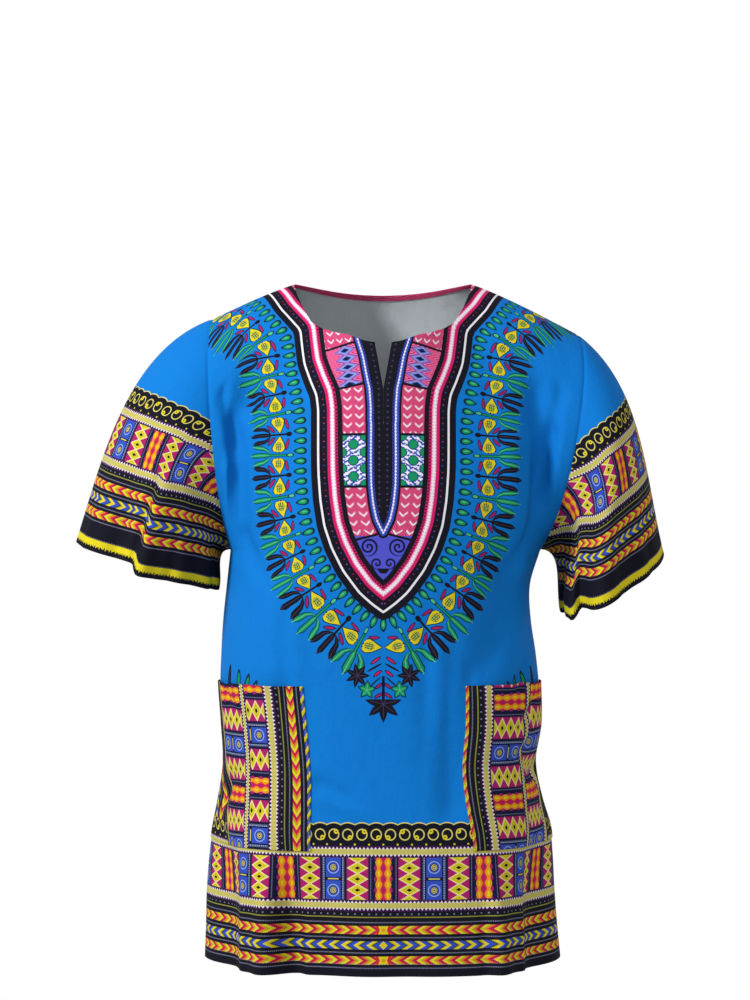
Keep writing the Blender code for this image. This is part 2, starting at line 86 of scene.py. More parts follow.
SWEEP_COLUMNS = ("share", "out_low", "away_low", "up_low", "out_top", "away_top", "up_top")
FRONT_SWEEP = (
    (0.00, 0.000, 0.004, 0.090, 0.000, 0.058, -0.048),
    (0.30, 0.001, 0.006, 0.092, 0.003, 0.066, -0.046),
    (0.50, 0.003, 0.012, 0.095, 0.005, 0.084, -0.040),
    (0.75, 0.006, 0.040, 0.080, 0.004, 0.086, -0.020),
    (0.90, 0.010, 0.085, 0.048, 0.006, 0.090, -0.022),
    (1.00, 0.012, 0.108, 0.030, 0.008, 0.094, -0.024),
)
BACK_SWEEP = (
    (0.00, 0.000, 0.016, 0.100, 0.000, 0.070, -0.040),
    (0.30, 0.001, 0.017, 0.100, 0.002, 0.075, -0.038),
    (0.50, 0.003, 0.020, 0.098, 0.004, 0.086, -0.030),
    (0.75, 0.006, 0.044, 0.080, 0.004, 0.084, -0.022),
    (0.90, 0.008, 0.078, 0.048, 0.004, 0.086, -0.024),
    (1.00, 0.008, 0.096, 0.030, 0.004, 0.088, -0.026),
)
SIDE_OUTWARD = {"right": 1.0, "left": 2.0}
TOP_MIDDLE = {FRONT: (-0.055, 0.004), BACK: (0.056, 0.008)}
SHOULDER_TIP = {"right": (-0.186, 0.004, -0.038), "left": (0.212, 0.002, -0.055)}

NECK_EDGE_COLUMNS = ("x", "z")
NECK_EDGE = (
    (0.0000, -0.0690),
    (0.0100, -0.0675),
    (0.0310, -0.0605),
    (0.0500, -0.0575),
    (0.0650, -0.0530),
    (0.0765, -0.0460),
    (0.0860, -0.0297),
    (0.0935, -0.0125),
    (0.0975, 0.0000),
)
BACK_NECK_DROP = 0.10
NECK_SEARCH = (1.2, 2.0, 40)
FOLD_START, FOLD_END = (-0.05, 0.15), (0.45, 1.10)

# Folds of the body panels in millimetres: across and up at one end, across and up at the other, height and
# width. Each panel's large ones, which the part has too, come first. Finer ones for the cloth alone follow.
FOLDS = {
    FRONT: (
        (-130, -40, -124, 130, 11, 14), (-100, -40, -106, 150, -16, 13), (-68, -40, -78, 200, -12, 36),
        (-198, -40, -204, 200, -22, 40), (126, -40, 118, 130, 11, 14), (192, -40, 198, 200, -22, 40),
        (20, -40, 30, 90, -4, 26), (74, 150, 66, 345, -6, 16), (158, 420, 96, 300, -9, 18),
        (-116, 300, -110, 450, 5, 20), (-150, 640, -168, 440, -10, 14), (-180, 560, -194, 420, 6, 14),
        (172, 640, 184, 450, -9, 15), (140, 580, 152, 420, 6, 18), (224, 200, 150, 235, -8, 13),
        (-230, 170, -160, 215, -7, 12), (-171, 610, -180, 440, -8, 8), (-156, 600, -158, 470, 4, 8),
        (-192, 640, -170, 560, -6, 9), (-135, 620, -150, 520, 3, 10), (196, 600, 178, 470, -7, 9),
        (168, 585, 160, 450, 4, 9), (210, 650, 180, 540, -5, 10), (186, 480, 120, 400, -5, 10),
        (180, 440, 110, 350, 3, 10), (-178, 470, -120, 400, -4, 10), (-108, 400, -100, 170, -3, 11),
        (-94, 390, -88, 200, 2, 10), (46, 390, 42, 190, -3, 10), (94, 330, 86, 180, -3, 9),
        (58, 360, 62, 200, 2, 9), (-76, 205, -20, 175, -3, 8), (-70, 188, -10, 160, 2, 7),
        (182, 330, 140, 290, -4, 7), (190, 290, 150, 255, -4, 6), (186, 250, 150, 222, -3, 6),
        (-196, 300, -160, 262, -3, 7), (-92, -20, -90, 110, -5, 6), (112, -20, 106, 110, -5, 7),
        (162, -20, 158, 120, 4, 9), (-160, -20, -162, 130, 4, 9),
    ),
    BACK: (
        (-30, -40, -50, 330, -10, 24), (45, -40, 36, 370, 9, 26), (-125, -40, -112, 240, 12, 24),
        (118, -40, 130, 210, -11, 22), (172, -40, 165, 140, 9, 20), (-180, -40, -172, 150, -9, 20),
        (-148, 640, -168, 440, -10, 16), (156, 650, 172, 450, -10, 16), (-212, 180, -120, 235, -8, 16),
        (214, 190, 130, 225, -8, 15), (-171, 620, -182, 450, -6, 9), (178, 620, 170, 460, -6, 9),
        (-186, 470, -110, 400, -4, 11), (180, 450, 120, 380, -4, 10), (-70, 520, -60, 340, -3, 12),
        (88, 500, 80, 310, -3, 12), (10, 250, 70, 225, -3, 8), (-140, -20, -136, 120, -4, 7),
        (86, -20, 90, 100, -4, 7),
    ),
}

CUFF = {
    "right": {"centre": (-0.256, -0.004, -0.306), "outer": (-0.078, 0.004, 0.026),
              "front": (0.004, -0.077, -0.006)},
    "left": {"centre": (0.250, 0.004, -0.324), "outer": (0.058, 0.016, 0.030),
             "front": (-0.006, -0.094, -0.018)},
}
SLEEVE_START = {
    "right": {"tip": (-0.95, 0.0, -0.34), "front": (-0.80, -0.30, -0.52), "armpit": (-0.97, 0.0, 0.0),
              "back": (-0.80, 0.30, -0.52)},
    "left": {"tip": (0.80, 0.0, -0.60), "front": (0.74, -0.36, -0.56), "armpit": (0.97, 0.0, 0.0),
             "back": (0.80, 0.30, -0.52)},
}
CUFF_WAY = {"right": (-0.30, 0.0, -0.95), "left": (0.24, 0.0, -0.97)}
SLEEVE_EASE = 0.012

# Folds of the sleeves: place around at the armhole and at the cuff in half turns from the top by the front,
# where down the sleeve they start, height and width
SLEEVE_FOLDS = {
    "right": (
        (0.3, 0.33, 0.3, -0.014, 0.060), (0.47, 0.46, 0.25, 0.008, 0.080),
        (0.72, 0.74, 0.15, -0.007, 0.070), (1.36, 1.34, 0.25, -0.011, 0.090),
        (1.66, 1.62, 0.2, 0.009, 0.090), (0.46, 0.435, 0.25, -0.007, 0.022),
        (0.52, 0.48, 0.25, 0.004, 0.030), (0.86, 0.88, 0.1, -0.005, 0.035),
        (0.62, 0.6, 0.3, -0.003, 0.030), (0.2, 0.18, 0.4, 0.003, 0.030),
    ),
    "left": (
        (0.3, 0.38, 0.25, -0.009, 0.070), (0.62, 0.7, 0.2, -0.010, 0.055),
        (0.5, 0.54, 0.2, 0.007, 0.080), (1.38, 1.36, 0.25, -0.010, 0.090),
        (1.66, 1.66, 0.2, 0.009, 0.090), (0.68, 0.735, 0.2, -0.006, 0.020),
        (0.74, 0.78, 0.2, 0.004, 0.028), (0.42, 0.44, 0.35, -0.004, 0.028),
        (0.2, 0.22, 0.4, -0.003, 0.035), (0.88, 0.9, 0.1, -0.004, 0.030),
    ),
}
# Where the cuff's cloth laps over itself: the place around it, how far it drops, and how soon it evens out
CUFF_STEPS = {"right": (0.45, 0.0095, 0.15), "left": (0.75, 0.0080, 0.10)}
CUFF_STEP_WIDTH = 0.012
CUFF_STEP_FADE = (0.30, 0.85)

POCKET_ROWS = (-0.602, -0.431)
POCKET_SHARES = {"right": (0.30, 0.95), "left": (0.33, 0.95)}
LEAN_REACH = 0.30
POCKET_LEAN = {"right": 0.040, "left": 0.008}
NET = 160
STEP = 1e-3

# The thin cloth
CLOTH = 0.0005
HEM_WIDTH = 0.014
NECK_HEM_WIDTH = 0.007
POCKET_HEM_WIDTH = 0.009
LAYER_GAP = 0.0008
SEAM_DEPTH, SEAM_WIDTH = 0.0010, 0.0024
SEAM_ALLOWANCE = 0.007
# Steps into the cloth and inwards of it: round a turned edge, and down into a seam
TURNING = ((-0.0003, LAYER_GAP / 2), (0.0012, LAYER_GAP))
TURNED_ROWS = 4
SEAM_OFFSETS = ((0.0003, 0.0014), (0.0013, SEAM_ALLOWANCE))
EDGE_DEPTH = 10
POCKET_LIFT, POCKET_BULGE, POCKET_GAPE = 0.0014, 0.0016, 0.0045
BODY_COLUMNS, LOWER_COUNT, UPPER_COUNT, SLEEVE_COUNT = 78, 118, 84, 84
POCKET_COLUMNS, POCKET_COUNT = 52, 56
# Places, as shares of the cloth's width or height, of more points beside the seams and edges
SEAM_STEPS, SLEEVE_STEPS, POCKET_STEPS = (0.985, 0.993), (0.004, 0.010), (0.008, 0.992)
SHARP_ANGLE = math.radians(60)
# Where the layers lie in the square of the cloth's own map: from and to across it
MAP_PARTS = {"outer": (0.0, 0.74), "inner": (0.75, 0.94), "turned": (0.95, 0.97),
             "turned_inner": (0.975, 0.995)}
MAP_HEIGHT, MAP_MARGIN = 0.998, 0.001

# Where the neck print lies, as pixels of the front view, from the right shoulder to the bottom of its point
PIXEL = 0.00109
VIEW_X, VIEW_Y, VIEW_Z = -0.0087, -3.0, -0.2354
MIDDLE_PIXEL = (375, 500)
OUTLINE = (
    (265, 292), (281, 309), (294, 323), (300.5, 330), (302.5, 349), (304.5, 364), (311, 382), (316.6, 395),
    (318.3, 410), (318.3, 460), (318.6, 474), (320.4, 500), (324.4, 526), (331.8, 548), (343.3, 571),
    (359.4, 592.7), (372, 604), (382.9, 612.2))
INNER_STRIPE = (
    (354, 326), (356.7, 336), (362.8, 355), (367.5, 380), (370.8, 407), (370.8, 460), (371.2, 485),
    (373.2, 504), (376.6, 520), (382.9, 533))
LEAF_LINE = (
    (258.6, 307.5), (270.4, 320), (280, 329), (287, 340), (289.4, 358), (291.5, 375), (295, 389),
    (297.8, 407), (300.5, 425), (300.5, 445), (299.9, 467), (301, 487), (303, 507), (306.4, 526),
    (312.6, 545), (321.3, 563), (331.5, 582), (347, 600), (362.5, 614.6), (370.4, 621), (382.9, 626))
PATCH_ENDS = (345, 387, 434.5, 486.7, 536)
UNIT_OFFSET = 25.0
UNIT_PLACES = (0, 51, 102, 143, 184, 230)
UNIT_PERIOD, LEAF_PERIOD = 45.8, 10.85
# The garland's repeat, in steps of PX millimetres: along from the black hand's stem, and out from the leaves
PX = 1.041
GREEN_STEM = 22.0
HAND_END, HAND_SPREAD = 57.0, 8.8
FLOWER_WIDTHS = ((1.5, 0.3), (2.5, 1.0), (6.0, 3.2), (10.0, 5.8), (14.5, 7.4), (17.5, 6.0), (19.6, 0.2))
FLOWER_OUT, FLOWER_LEAN = 22.6, 0.12
# The neck's bands, from the outline or from the inner stripe outwards
OUTLINE_HALF, SPOTS_AT, SPOT_PITCH = 1.15, -6.45, 6.5
BEADS_AT, BEADS_HALF, FIELD_LIMIT = -15.7, 5.7, -26.8
INNER_HALF, INNER_LIMIT = 3.4, 5.8
PATCH_LEAN_FROM, PATCH_LEAN = 37.0, 0.18
BACK_OUTLINE_DROP = 37.0
LEAF_OUTSIDE = 14.5
BACK_SEAM_DROP = 27.0
UNIT_PITCH, MORE_UNITS = 44, 11
LINE_STEP, LINE_SPREAD, BAND_SPREAD, LINE_REACH = 1.5, 7.0, 4.0, 80.0
FIT_POINTS, CHUNK = 24, 2000
NECK_OUTSIDE, NECK_FACES = 8.2, 8.4
PATCH_MIDDLE, CELL_PITCH, BEAD_PITCH = 18.3, 17.0, 3.5
PRINT_REACH = 70.0
BODY_SLOTS = ("blue", "garland", "neck", "border")
POINT_HALF, POINT_REACH = 0.050, 0.115
TIPS_FROM, TIPS_UP = 0.115, (0.270, 0.345)

# The surface of the cloth, by the millimetre
WEAVE_PITCH, WEAVE_HEIGHT = 0.9, 0.035
SLUB_SCALES, SLUB_HEIGHT = (0.05, 1.4), 0.05
CREASE_SCALES, CREASE_HEIGHT = (0.045, 0.03), 2.2

# The border print, in millimetres up from the hem. The print's functions use millimetres too.
STITCH_PITCH = 2.8
DOT_PITCH, DOT_HALF = 1.4, 0.45
DOTTED_LOW = 8.7
CHAIN_PITCH, CHAIN_LOW, CHAIN_MIDDLE, CHAIN_HALF = 15.8, 16.6, 32.4, 4.3
CHAINS_HALF, DOTTED_HALF = 20.4, 26.0
ARROW_LEAN, ARROW_PERIOD, ARROW_TIP, BLUE_ARROW_TIP = 1.6, 13.4, 7.8, 17.9
BAND_LOW, BAND_HIGH = 78.3, 123.8
LOW_ZIGZAG, HIGH_ZIGZAG = 73.5, 129.2
PATCH_PERIOD, DIAMOND_PITCH = 106.0, 11.4
STRIPES_AT, DIAMONDS_AT, DISCS_AT = (13.2, 41.6), 27.0, 53.0
RING_PITCH, RING_UP, SCALLOP_UP = 14.9, 147.1, 157.2
BORDER_TOP = 166.0
SLEEVE_SHIFT = 23.0
POCKETS = {
    "right": {"edge": 33.5, "split": 74.5, "tuck": 5.0, "stretch": 1.0,
              "orange": 196.4, "orange_beyond": 184.7, "limit": 128.0},
    "left": {"edge": 49.5, "split": 79.0, "tuck": 3.0, "stretch": 0.93,
             "orange": 178.9, "orange_beyond": 188.0, "limit": 140.0},
}
# A way along that is far from the middle of the chains, where their arrows turn round
FAR_ALONG = 500.0

# The stage
LENS, SENSOR = 99.1, 36
SKY = 0.62
LAMPS = (("key", (-2.5, -1.9, 1.5), 0.8, 142), ("fill", (1.4, -2.8, 0.9), 2.0, 22))
LAMP_AIM = (0, 0, -0.35)


def through(knots, values, at):
    """A smooth curve through a table's values, read at the given places."""
    knots, values, at = np.asarray(knots, float), np.asarray(values, float), np.asarray(at, float)
    slopes = np.gradient(values, knots)
    low = np.clip(np.searchsorted(knots, at, side="right") - 1, 0, len(knots) - 2)
    span = knots[low + 1] - knots[low]
    u = np.clip((at - knots[low]) / span, 0.0, 1.0)
    return (
        (1 + 2 * u) * (1 - u) ** 2 * values[low]
        + u * (1 - u) ** 2 * span * slopes[low]
        + u**2 * (3 - 2 * u) * values[low + 1]
        + u**2 * (u - 1) * span * slopes[low + 1]
    )


def column(rows, names, name):
    return [row[names.index(name)] for row in rows]


def ramp(low, high, value):
    u = np.clip((np.asarray(value, float) - low) / (high - low), 0.0, 1.0)
    return u * u * (3 - 2 * u)


def unit(vectors):
    return vectors / np.linalg.norm(vectors, axis=-1, keepdims=True)


def read_table(rows, names, at):
    """Every column of a table at the given places of its first column, smooth between its rows."""
    knots = column(rows, names, names[0])
    return {name: through(knots, column(rows, names, name), at) for name in names[1:]}


def section(facing, share, z):
    """A point of the torso's section at height z. Shares of -1 and 1 are at the right and left seams."""
    share, z = np.broadcast_arrays(np.asarray(share, float), np.asarray(z, float))
    read = read_table(LEVELS, LEVEL_COLUMNS, z)
    half = np.where(share < 0, read["right"], read["left"])
    depth = read["front"] if facing == FRONT else read["back"]
    angle = share * math.pi / 2
    across, along = np.sin(angle), np.abs(np.cos(angle))
    fit = (np.abs(across) ** read["square"] + along ** read["square"]) ** (-1 / read["square"])
    return np.stack([half * across * fit, SIDE_SEAM_Y + facing * depth * along * fit, z], axis=-1)


def top_line(facing, share):
    """The line that both panels end on: shoulder seams, and between them a line over the neck hole."""
    share = np.asarray(share, float)
    size, side = np.abs(share), np.sign(share)
    inside = np.clip(size / NECK_SHARE, 0.0, 1.0)
    outside = np.clip((size - NECK_SHARE) / (1 - NECK_SHARE), 0.0, 1.0)
    middle_y, middle_z = TOP_MIDDLE[facing]
    tip = np.where(side[..., None] < 0, SHOULDER_TIP["right"], SHOULDER_TIP["left"])
    x = side * NECK_HALF * inside + (tip[..., 0] - side * NECK_HALF) * outside
    y = middle_y * (1 - inside**2) ** 1.5 + tip[..., 1] * outside
    z = middle_z * (1 - inside**2) ** 1.5 + tip[..., 2] * outside**1.12
    return np.stack([x, y, z], axis=-1)


def sweep(facing, share, u):
    """The cloth above the armpits: each column is one curve from the section there to the top line."""
    share, u = np.broadcast_arrays(np.asarray(share, float), np.asarray(u, float))
    read = read_table(FRONT_SWEEP if facing == FRONT else BACK_SWEEP, SWEEP_COLUMNS, np.abs(share))
    side = np.sign(share) * np.where(share < 0, SIDE_OUTWARD["right"], SIDE_OUTWARD["left"])
    start, end = section(facing, share, ARMPIT_Z), top_line(facing, share)
    low = start + np.stack([side * read["out_low"], facing * read["away_low"], read["up_low"]], axis=-1)
    top = end + np.stack([side * read["out_top"], facing * read["away_top"], read["up_top"]], axis=-1)
    u = u[..., None]
    return (1 - u) ** 3 * start + 3 * (1 - u) ** 2 * u * low + 3 * (1 - u) * u**2 * top + u**3 * end


def body(facing, share, row):
    """The smooth body form. Row 0 is the hem, 1 the armpits, 2 the top line."""
    share, row = np.broadcast_arrays(np.asarray(share, float), np.asarray(row, float))
    lower = section(facing, share, HEM_Z + (ARMPIT_Z - HEM_Z) * np.minimum(row, 1.0))
    upper = sweep(facing, share, np.clip(row - 1, 0.0, 1.0))
    return np.where((row <= 1)[..., None], lower, upper)


def flat_tables(facing):
    """The panel's cloth coordinates on a fine net: across from the centre line, and up from the hem."""
    shares, rows = np.linspace(-1, 1, NET + 1), np.linspace(0, 2, NET + 1)
    net = body(facing, shares[None, :], rows[:, None])
    steps = np.linalg.norm(np.diff(net, axis=1), axis=2)
    across = np.concatenate([np.zeros((len(rows), 1)), np.cumsum(steps, axis=1)], axis=1)
    across -= across[:, [NET // 2]]
    rises = np.linalg.norm(np.diff(net, axis=0), axis=2)
    up = np.concatenate([np.zeros((1, len(shares))), np.cumsum(rises, axis=0)], axis=0)
    return across, up


FLAT = {facing: flat_tables(facing) for facing in (FRONT, BACK)}


def flat(facing, share, row):
    """Cloth coordinates of points of the form, read from the net."""
    share, row = np.broadcast_arrays(np.asarray(share, float), np.asarray(row, float))
    i, j = (share + 1) * NET / 2, row * NET / 2
    i0, j0 = np.clip(i.astype(int), 0, NET - 1), np.clip(j.astype(int), 0, NET - 1)
    a, b = i - i0, j - j0
    return tuple(
        (1 - b) * ((1 - a) * table[j0, i0] + a * table[j0, i0 + 1])
        + b * ((1 - a) * table[j0 + 1, i0] + a * table[j0 + 1, i0 + 1])
        for table in FLAT[facing]
    )


def relief(facing, across, up):
    """How far the folds move the cloth out of the smooth form."""
    total = np.zeros(np.shape(across))
    for fold in FOLDS[facing]:
        across_0, up_0, across_1, up_1, height, width = (value / 1000 for value in fold)
        run = np.array([across_1 - across_0, up_1 - up_0])
        length = np.linalg.norm(run)
        run /= length
        x, y = across - across_0, up - up_0
        along = (x * run[0] + y * run[1]) / length
        off = (x * run[1] - y * run[0]) / width
        total += height * np.exp(-(off**2)) * (ramp(*FOLD_START, along) * (1 - ramp(*FOLD_END, along)))
    return total


def outwards(facing, share, row):
    """The form's outward direction, from small steps along both of its lines."""
    share, row = np.clip(share, -1 + STEP, 1 - STEP), np.clip(row, STEP, 2 - STEP)
    along = body(facing, share + STEP, row) - body(facing, share - STEP, row)
    up = body(facing, share, row + STEP) - body(facing, share, row - STEP)
    return unit(np.cross(along, up) * -facing)


def slit_half(z):
    """Half the width of the neck slit at height z: a V above a stretch that hangs nearly shut."""
    top = NECK_EDGE[0][1]
    spread = np.clip((z - SLIT_OPEN_Z) / (top - SLIT_OPEN_Z), 0.0, SLIT_SPREAD_LIMIT)
    return np.where(z > SLIT_END_Z, SLIT_CLOSED_HALF + (SLIT_TOP_HALF - SLIT_CLOSED_HALF) * spread, 0.0)


def panel(facing, share, row, half=0):
    """A point of a body panel with its folds. Half is -1 or 1 on the two halves beside the slit."""
    across, up = flat(facing, share, row)
    lift = relief(facing, across, up) * (1 - ramp(FOLDS_FADE_FROM, 1.0, np.abs(share)))
    point = body(facing, share, row) + outwards(facing, share, row) * lift[..., None]
    if facing == FRONT:
        beside = np.clip(1 - (across / SLIT_REACH) ** 2, 0.0, 1.0) ** 2
        point[..., 0] += half * slit_half(point[..., 2]) * beside
    return point


def neck_rows(facing, shares):
    """The row at which each column of cloth ends: on the shoulder seam, or at the neck edge."""
    over_neck = np.abs(shares) < NECK_SHARE
    if facing == BACK:
        return np.where(over_neck, 2.0 - BACK_NECK_DROP * (1 - (shares / NECK_SHARE) ** 2), 2.0)
    lowest, highest, halvings = NECK_SEARCH
    low, high = np.full(shares.shape, lowest), np.full(shares.shape, highest)
    edge_x, edge_z = column(NECK_EDGE, NECK_EDGE_COLUMNS, "x"), column(NECK_EDGE, NECK_EDGE_COLUMNS, "z")
    for _ in range(halvings):
        middle = (low + high) / 2
        points = body(facing, shares, middle)
        below = points[:, 2] < np.interp(np.abs(points[:, 0]), edge_x, edge_z)
        low, high = np.where(below, middle, low), np.where(below, high, middle)
    return np.where(over_neck, (low + high) / 2, 2.0)


def leaned(share, row):
    """Shares moved in beside the pockets' inner edges, so that those edges hang straight."""
    bottom, top = ((z - HEM_Z) / (ARMPIT_Z - HEM_Z) for z in POCKET_ROWS)
    edge = np.where(share < 0, POCKET_SHARES["right"][0], POCKET_SHARES["left"][0])
    lean = np.where(share < 0, POCKET_LEAN["right"], POCKET_LEAN["left"])
    near = np.clip(1 - ((np.abs(share) - edge) / LEAN_REACH) ** 2, 0.0, 1.0) ** 2
    return share - np.sign(share) * lean * near * np.clip((top - row) / (top - bottom), 0.0, 1.0)


def cuff_step(side, around):
    """How far the cuff is moved along the sleeve at each place around it."""
    at, drop, evens = CUFF_STEPS[side]
    off = around - at
    return drop / 2 * np.tanh(off / CUFF_STEP_WIDTH) * np.exp(-((off / evens) ** 2))


def sleeve_rings(side, armhole, rows):
    """A sleeve's points, one row of the array for each ring. The armhole runs from the tip by the front."""
    around = 2 * np.arange(len(armhole)) / len(armhole)
    angle = math.pi * around
    cuff, start = CUFF[side], {k: np.array(v) for k, v in SLEEVE_START[side].items()}
    end = (
        np.array(cuff["centre"])
        + np.cos(angle)[:, None] * np.array(cuff["outer"])
        + np.sin(angle)[:, None] * np.array(cuff["front"])
    )
    end = end + cuff_step(side, around)[:, None] * np.array(CUFF_WAY[side])
    tip, armpit = np.clip(np.cos(angle), 0, 1), np.clip(-np.cos(angle), 0, 1)
    front, back = np.clip(np.sin(angle), 0, 1), np.clip(-np.sin(angle), 0, 1)
    leave = (
        (tip**2)[:, None] * start["tip"]
        + (armpit**2)[:, None] * start["armpit"]
        + (front**2)[:, None] * start["front"]
        + (back**2)[:, None] * start["back"]
    )
    chord = np.linalg.norm(end - armhole, axis=1)[:, None]
    arrive = np.array(CUFF_WAY[side]) * chord
    leave *= chord + SLEEVE_EASE
    u = rows[:, None, None]
    rings = (
        (1 + 2 * u) * (1 - u) ** 2 * armhole
        + u * (1 - u) ** 2 * leave
        + u**2 * (3 - 2 * u) * end
        + u**2 * (u - 1) * arrive
    )
    return rings + sleeve_relief(side, around, rows, rings)


def sleeve_relief(side, around, rows, rings):
    """The sleeve's folds, as steps away from each ring's middle."""
    u = rows[:, None]
    lift = np.zeros(rings.shape[:2])
    for at_start, at_cuff, start, height, width in SLEEVE_FOLDS[side]:
        place = at_start + (at_cuff - at_start) * u
        off = (around[None, :] - place + 1) % 2 - 1
        lift += height * np.exp(-((off / width) ** 2)) * ramp(start, 1.0, u)
    return unit(rings - rings.mean(axis=1, keepdims=True)) * lift[..., None]


def with_edges(count, *extra):
    """Even steps from 0 to 1, with more of them at the ends, where cloth turns at a seam."""
    return np.unique(np.concatenate([np.linspace(0, 1, count + 1), extra]))


def grid_quads(rows, columns):
    index = np.arange(rows * columns).reshape(rows, columns)
    a, b, c, d = index[:-1, :-1], index[:-1, 1:], index[1:, 1:], index[1:, :-1]
    return np.stack([a, b, c, d], axis=-1).reshape(-1, 4)


def welded(points, *keys):
    """For each point, the number of the place it shares with others."""
    rounded = np.round(np.column_stack([points, *keys]), 6)
    _, first, same = np.unique(rounded, axis=0, return_index=True, return_inverse=True)
    return first, same.reshape(-1)


def point_normals(points, quads, same=None):
    """Outward directions at points, with the points of one place as one."""
    same = np.arange(len(points)) if same is None else same
    corners = points[quads]
    face = np.cross(corners[:, 2] - corners[:, 0], corners[:, 3] - corners[:, 1])
    total = np.zeros((same.max() + 1, 3))
    for k in range(4):
        np.add.at(total, same[quads[:, k]], face)
    return unit(total)[same]


class Grid:
    """A sheet of cloth points in rows and columns, with the numbers that its print reads at each point."""

    def __init__(self, points, flip, **values):
        self.points, self.flip, self.values = points, flip, values
        self.normals = None
        self.turned_in = False

    def quads(self):
        quads = grid_quads(*self.points.shape[:2])
        return quads[:, ::-1] if self.flip else quads

    def edge(self, picks):
        """An edge of the grid, with the lines of cloth that lead in from it and print numbers beyond it."""
        lines = np.array([self.points[pick] for pick in picks])
        normals = np.array([self.normals[pick] for pick in picks])
        spacing = np.linalg.norm(lines[1] - lines[0], axis=1)
        slopes = {name: (value[picks[1]] - value[picks[0]]) / spacing for name, value in self.values.items()}
        return Edge(lines, normals, {name: value[picks[0]] for name, value in self.values.items()}, slopes)

    def side_edge(self, last, rows=slice(None)):
        """The edge at the first or last column."""
        every = np.arange(self.points.shape[0])[rows]
        return self.edge([(every, -1 - k if last else k) for k in range(EDGE_DEPTH)])

    def end_edge(self, last, columns=slice(None)):
        """The edge at the first or last row."""
        every = np.arange(self.points.shape[1])[columns]
        return self.edge([(-1 - k if last else k, every) for k in range(EDGE_DEPTH)])


class Edge:
    """An edge of a grid. Its lines are the rows of points there, with the edge's own first."""

    def __init__(self, lines, normals, values, slopes):
        self.lines, self.normals, self.values, self.slopes = lines, normals, values, slopes

    def step(self, into, inwards):
        """Points at a way into the cloth from the edge, and inwards of it."""
        run = np.cumsum(np.linalg.norm(np.diff(self.lines, axis=0), axis=2), axis=0)
        run = np.concatenate([np.zeros((1, run.shape[1])), run])
        each = np.arange(run.shape[1])
        low = np.clip((run < into).sum(axis=0) - 1, 0, len(run) - 2)
        share = ((into - run[low, each]) / (run[low + 1, each] - run[low, each]))[:, None]
        place = self.lines[low, each] * (1 - share) + self.lines[low + 1, each] * share
        share = np.clip(share, 0, 1)
        normals = self.normals[low, each] * (1 - share) + self.normals[low + 1, each] * share
        return place - unit(normals) * inwards

    def strip(self, offsets, after, flip, as_columns=False):
        """Rows of cloth beyond the edge, each given as a step into the cloth and a step inwards."""
        rows = [self.lines[0]] + [self.step(*offset) for offset in offsets]
        reach = [0.0]
        for before, now in zip([(0.0, 0.0)] + list(offsets[:-1]), offsets):
            reach.append(reach[-1] - math.dist(before, now))
        values = {name: np.array([value + self.slopes[name] * far for far in reach])
                  for name, value in self.values.items()}
        points = np.array(rows)
        if not after:
            points, values = points[::-1], {name: value[::-1] for name, value in values.items()}
        if as_columns:
            points, values = points.transpose(1, 0, 2), {name: value.T for name, value in values.items()}
        made = Grid(points, flip, **values)
        made.turned_in = True
        return made


def turned(width):
    """Offsets of an edge that is turned in behind the cloth and pressed."""
    return TURNING + tuple((width * k / TURNED_ROWS, LAYER_GAP) for k in range(1, TURNED_ROWS + 1))


def shell(name, grids, materials, pick_material, inside):
    """A thin closed shell of joined grids. pick_material gives a slot for each outer face."""
    points = np.concatenate([grid.points.reshape(-1, 3) for grid in grids])
    values = {key: np.concatenate([grid.values[key].reshape(-1) for grid in grids])
              for key in grids[0].values}
    sizes = [grid.points.shape[0] * grid.points.shape[1] for grid in grids]
    starts = np.cumsum([0] + sizes)
    quads = np.concatenate([grid.quads() + start for grid, start in zip(grids, starts)])
    under = np.concatenate([np.full(len(grid.quads()), grid.turned_in) for grid in grids])
    first, same = welded(points, values["across"])
    points, quads = points[first], same[quads]
    values = {key: value[first] for key, value in values.items()}
    normals = point_normals(points, quads)
    outer, inner = points + normals * CLOTH / 2, points - normals * CLOTH / 2
    count = len(points)
    edges = np.concatenate([quads[:, [k, (k + 1) % 4]] for k in range(4)])
    of_quad = np.tile(np.arange(len(quads)), 4)
    twin = {tuple(edge) for edge in edges[:, ::-1].tolist()}
    lone = np.array([k for k, edge in enumerate(edges.tolist()) if tuple(edge) not in twin])
    free = edges[lone]
    rim = np.stack([free[:, 1], free[:, 0], free[:, 0] + count, free[:, 1] + count], axis=1)
    faces = np.concatenate([quads, rim, quads[:, ::-1] + count])
    mesh = bpy.data.meshes.new(name)
    mesh.from_pydata(np.concatenate([outer, inner]).tolist(), [], faces.tolist())
    for material in materials:
        mesh.materials.append(material)
    slots = np.full(len(faces), inside)
    slots[:len(quads)] = pick_material({key: value[quads] for key, value in values.items()})
    slots[len(quads):len(quads) + len(rim)] = slots[of_quad[lone]]
    mesh.polygons.foreach_set("material_index", slots.astype(np.int32))
    for key, value in values.items():
        attribute = mesh.attributes.new(key, "FLOAT", "POINT")
        attribute.data.foreach_set("value", np.concatenate([value, value]).astype(np.float32))
    under = np.concatenate([under, under[of_quad[lone]], under])
    lay_out(mesh, faces, values, under, len(quads) + len(rim), count)
    mesh.shade_smooth()
    mesh.set_sharp_from_angle(angle=SHARP_ANGLE)
    made = bpy.data.objects.new(name, mesh)
    bpy.context.scene.collection.objects.link(made)
    return made


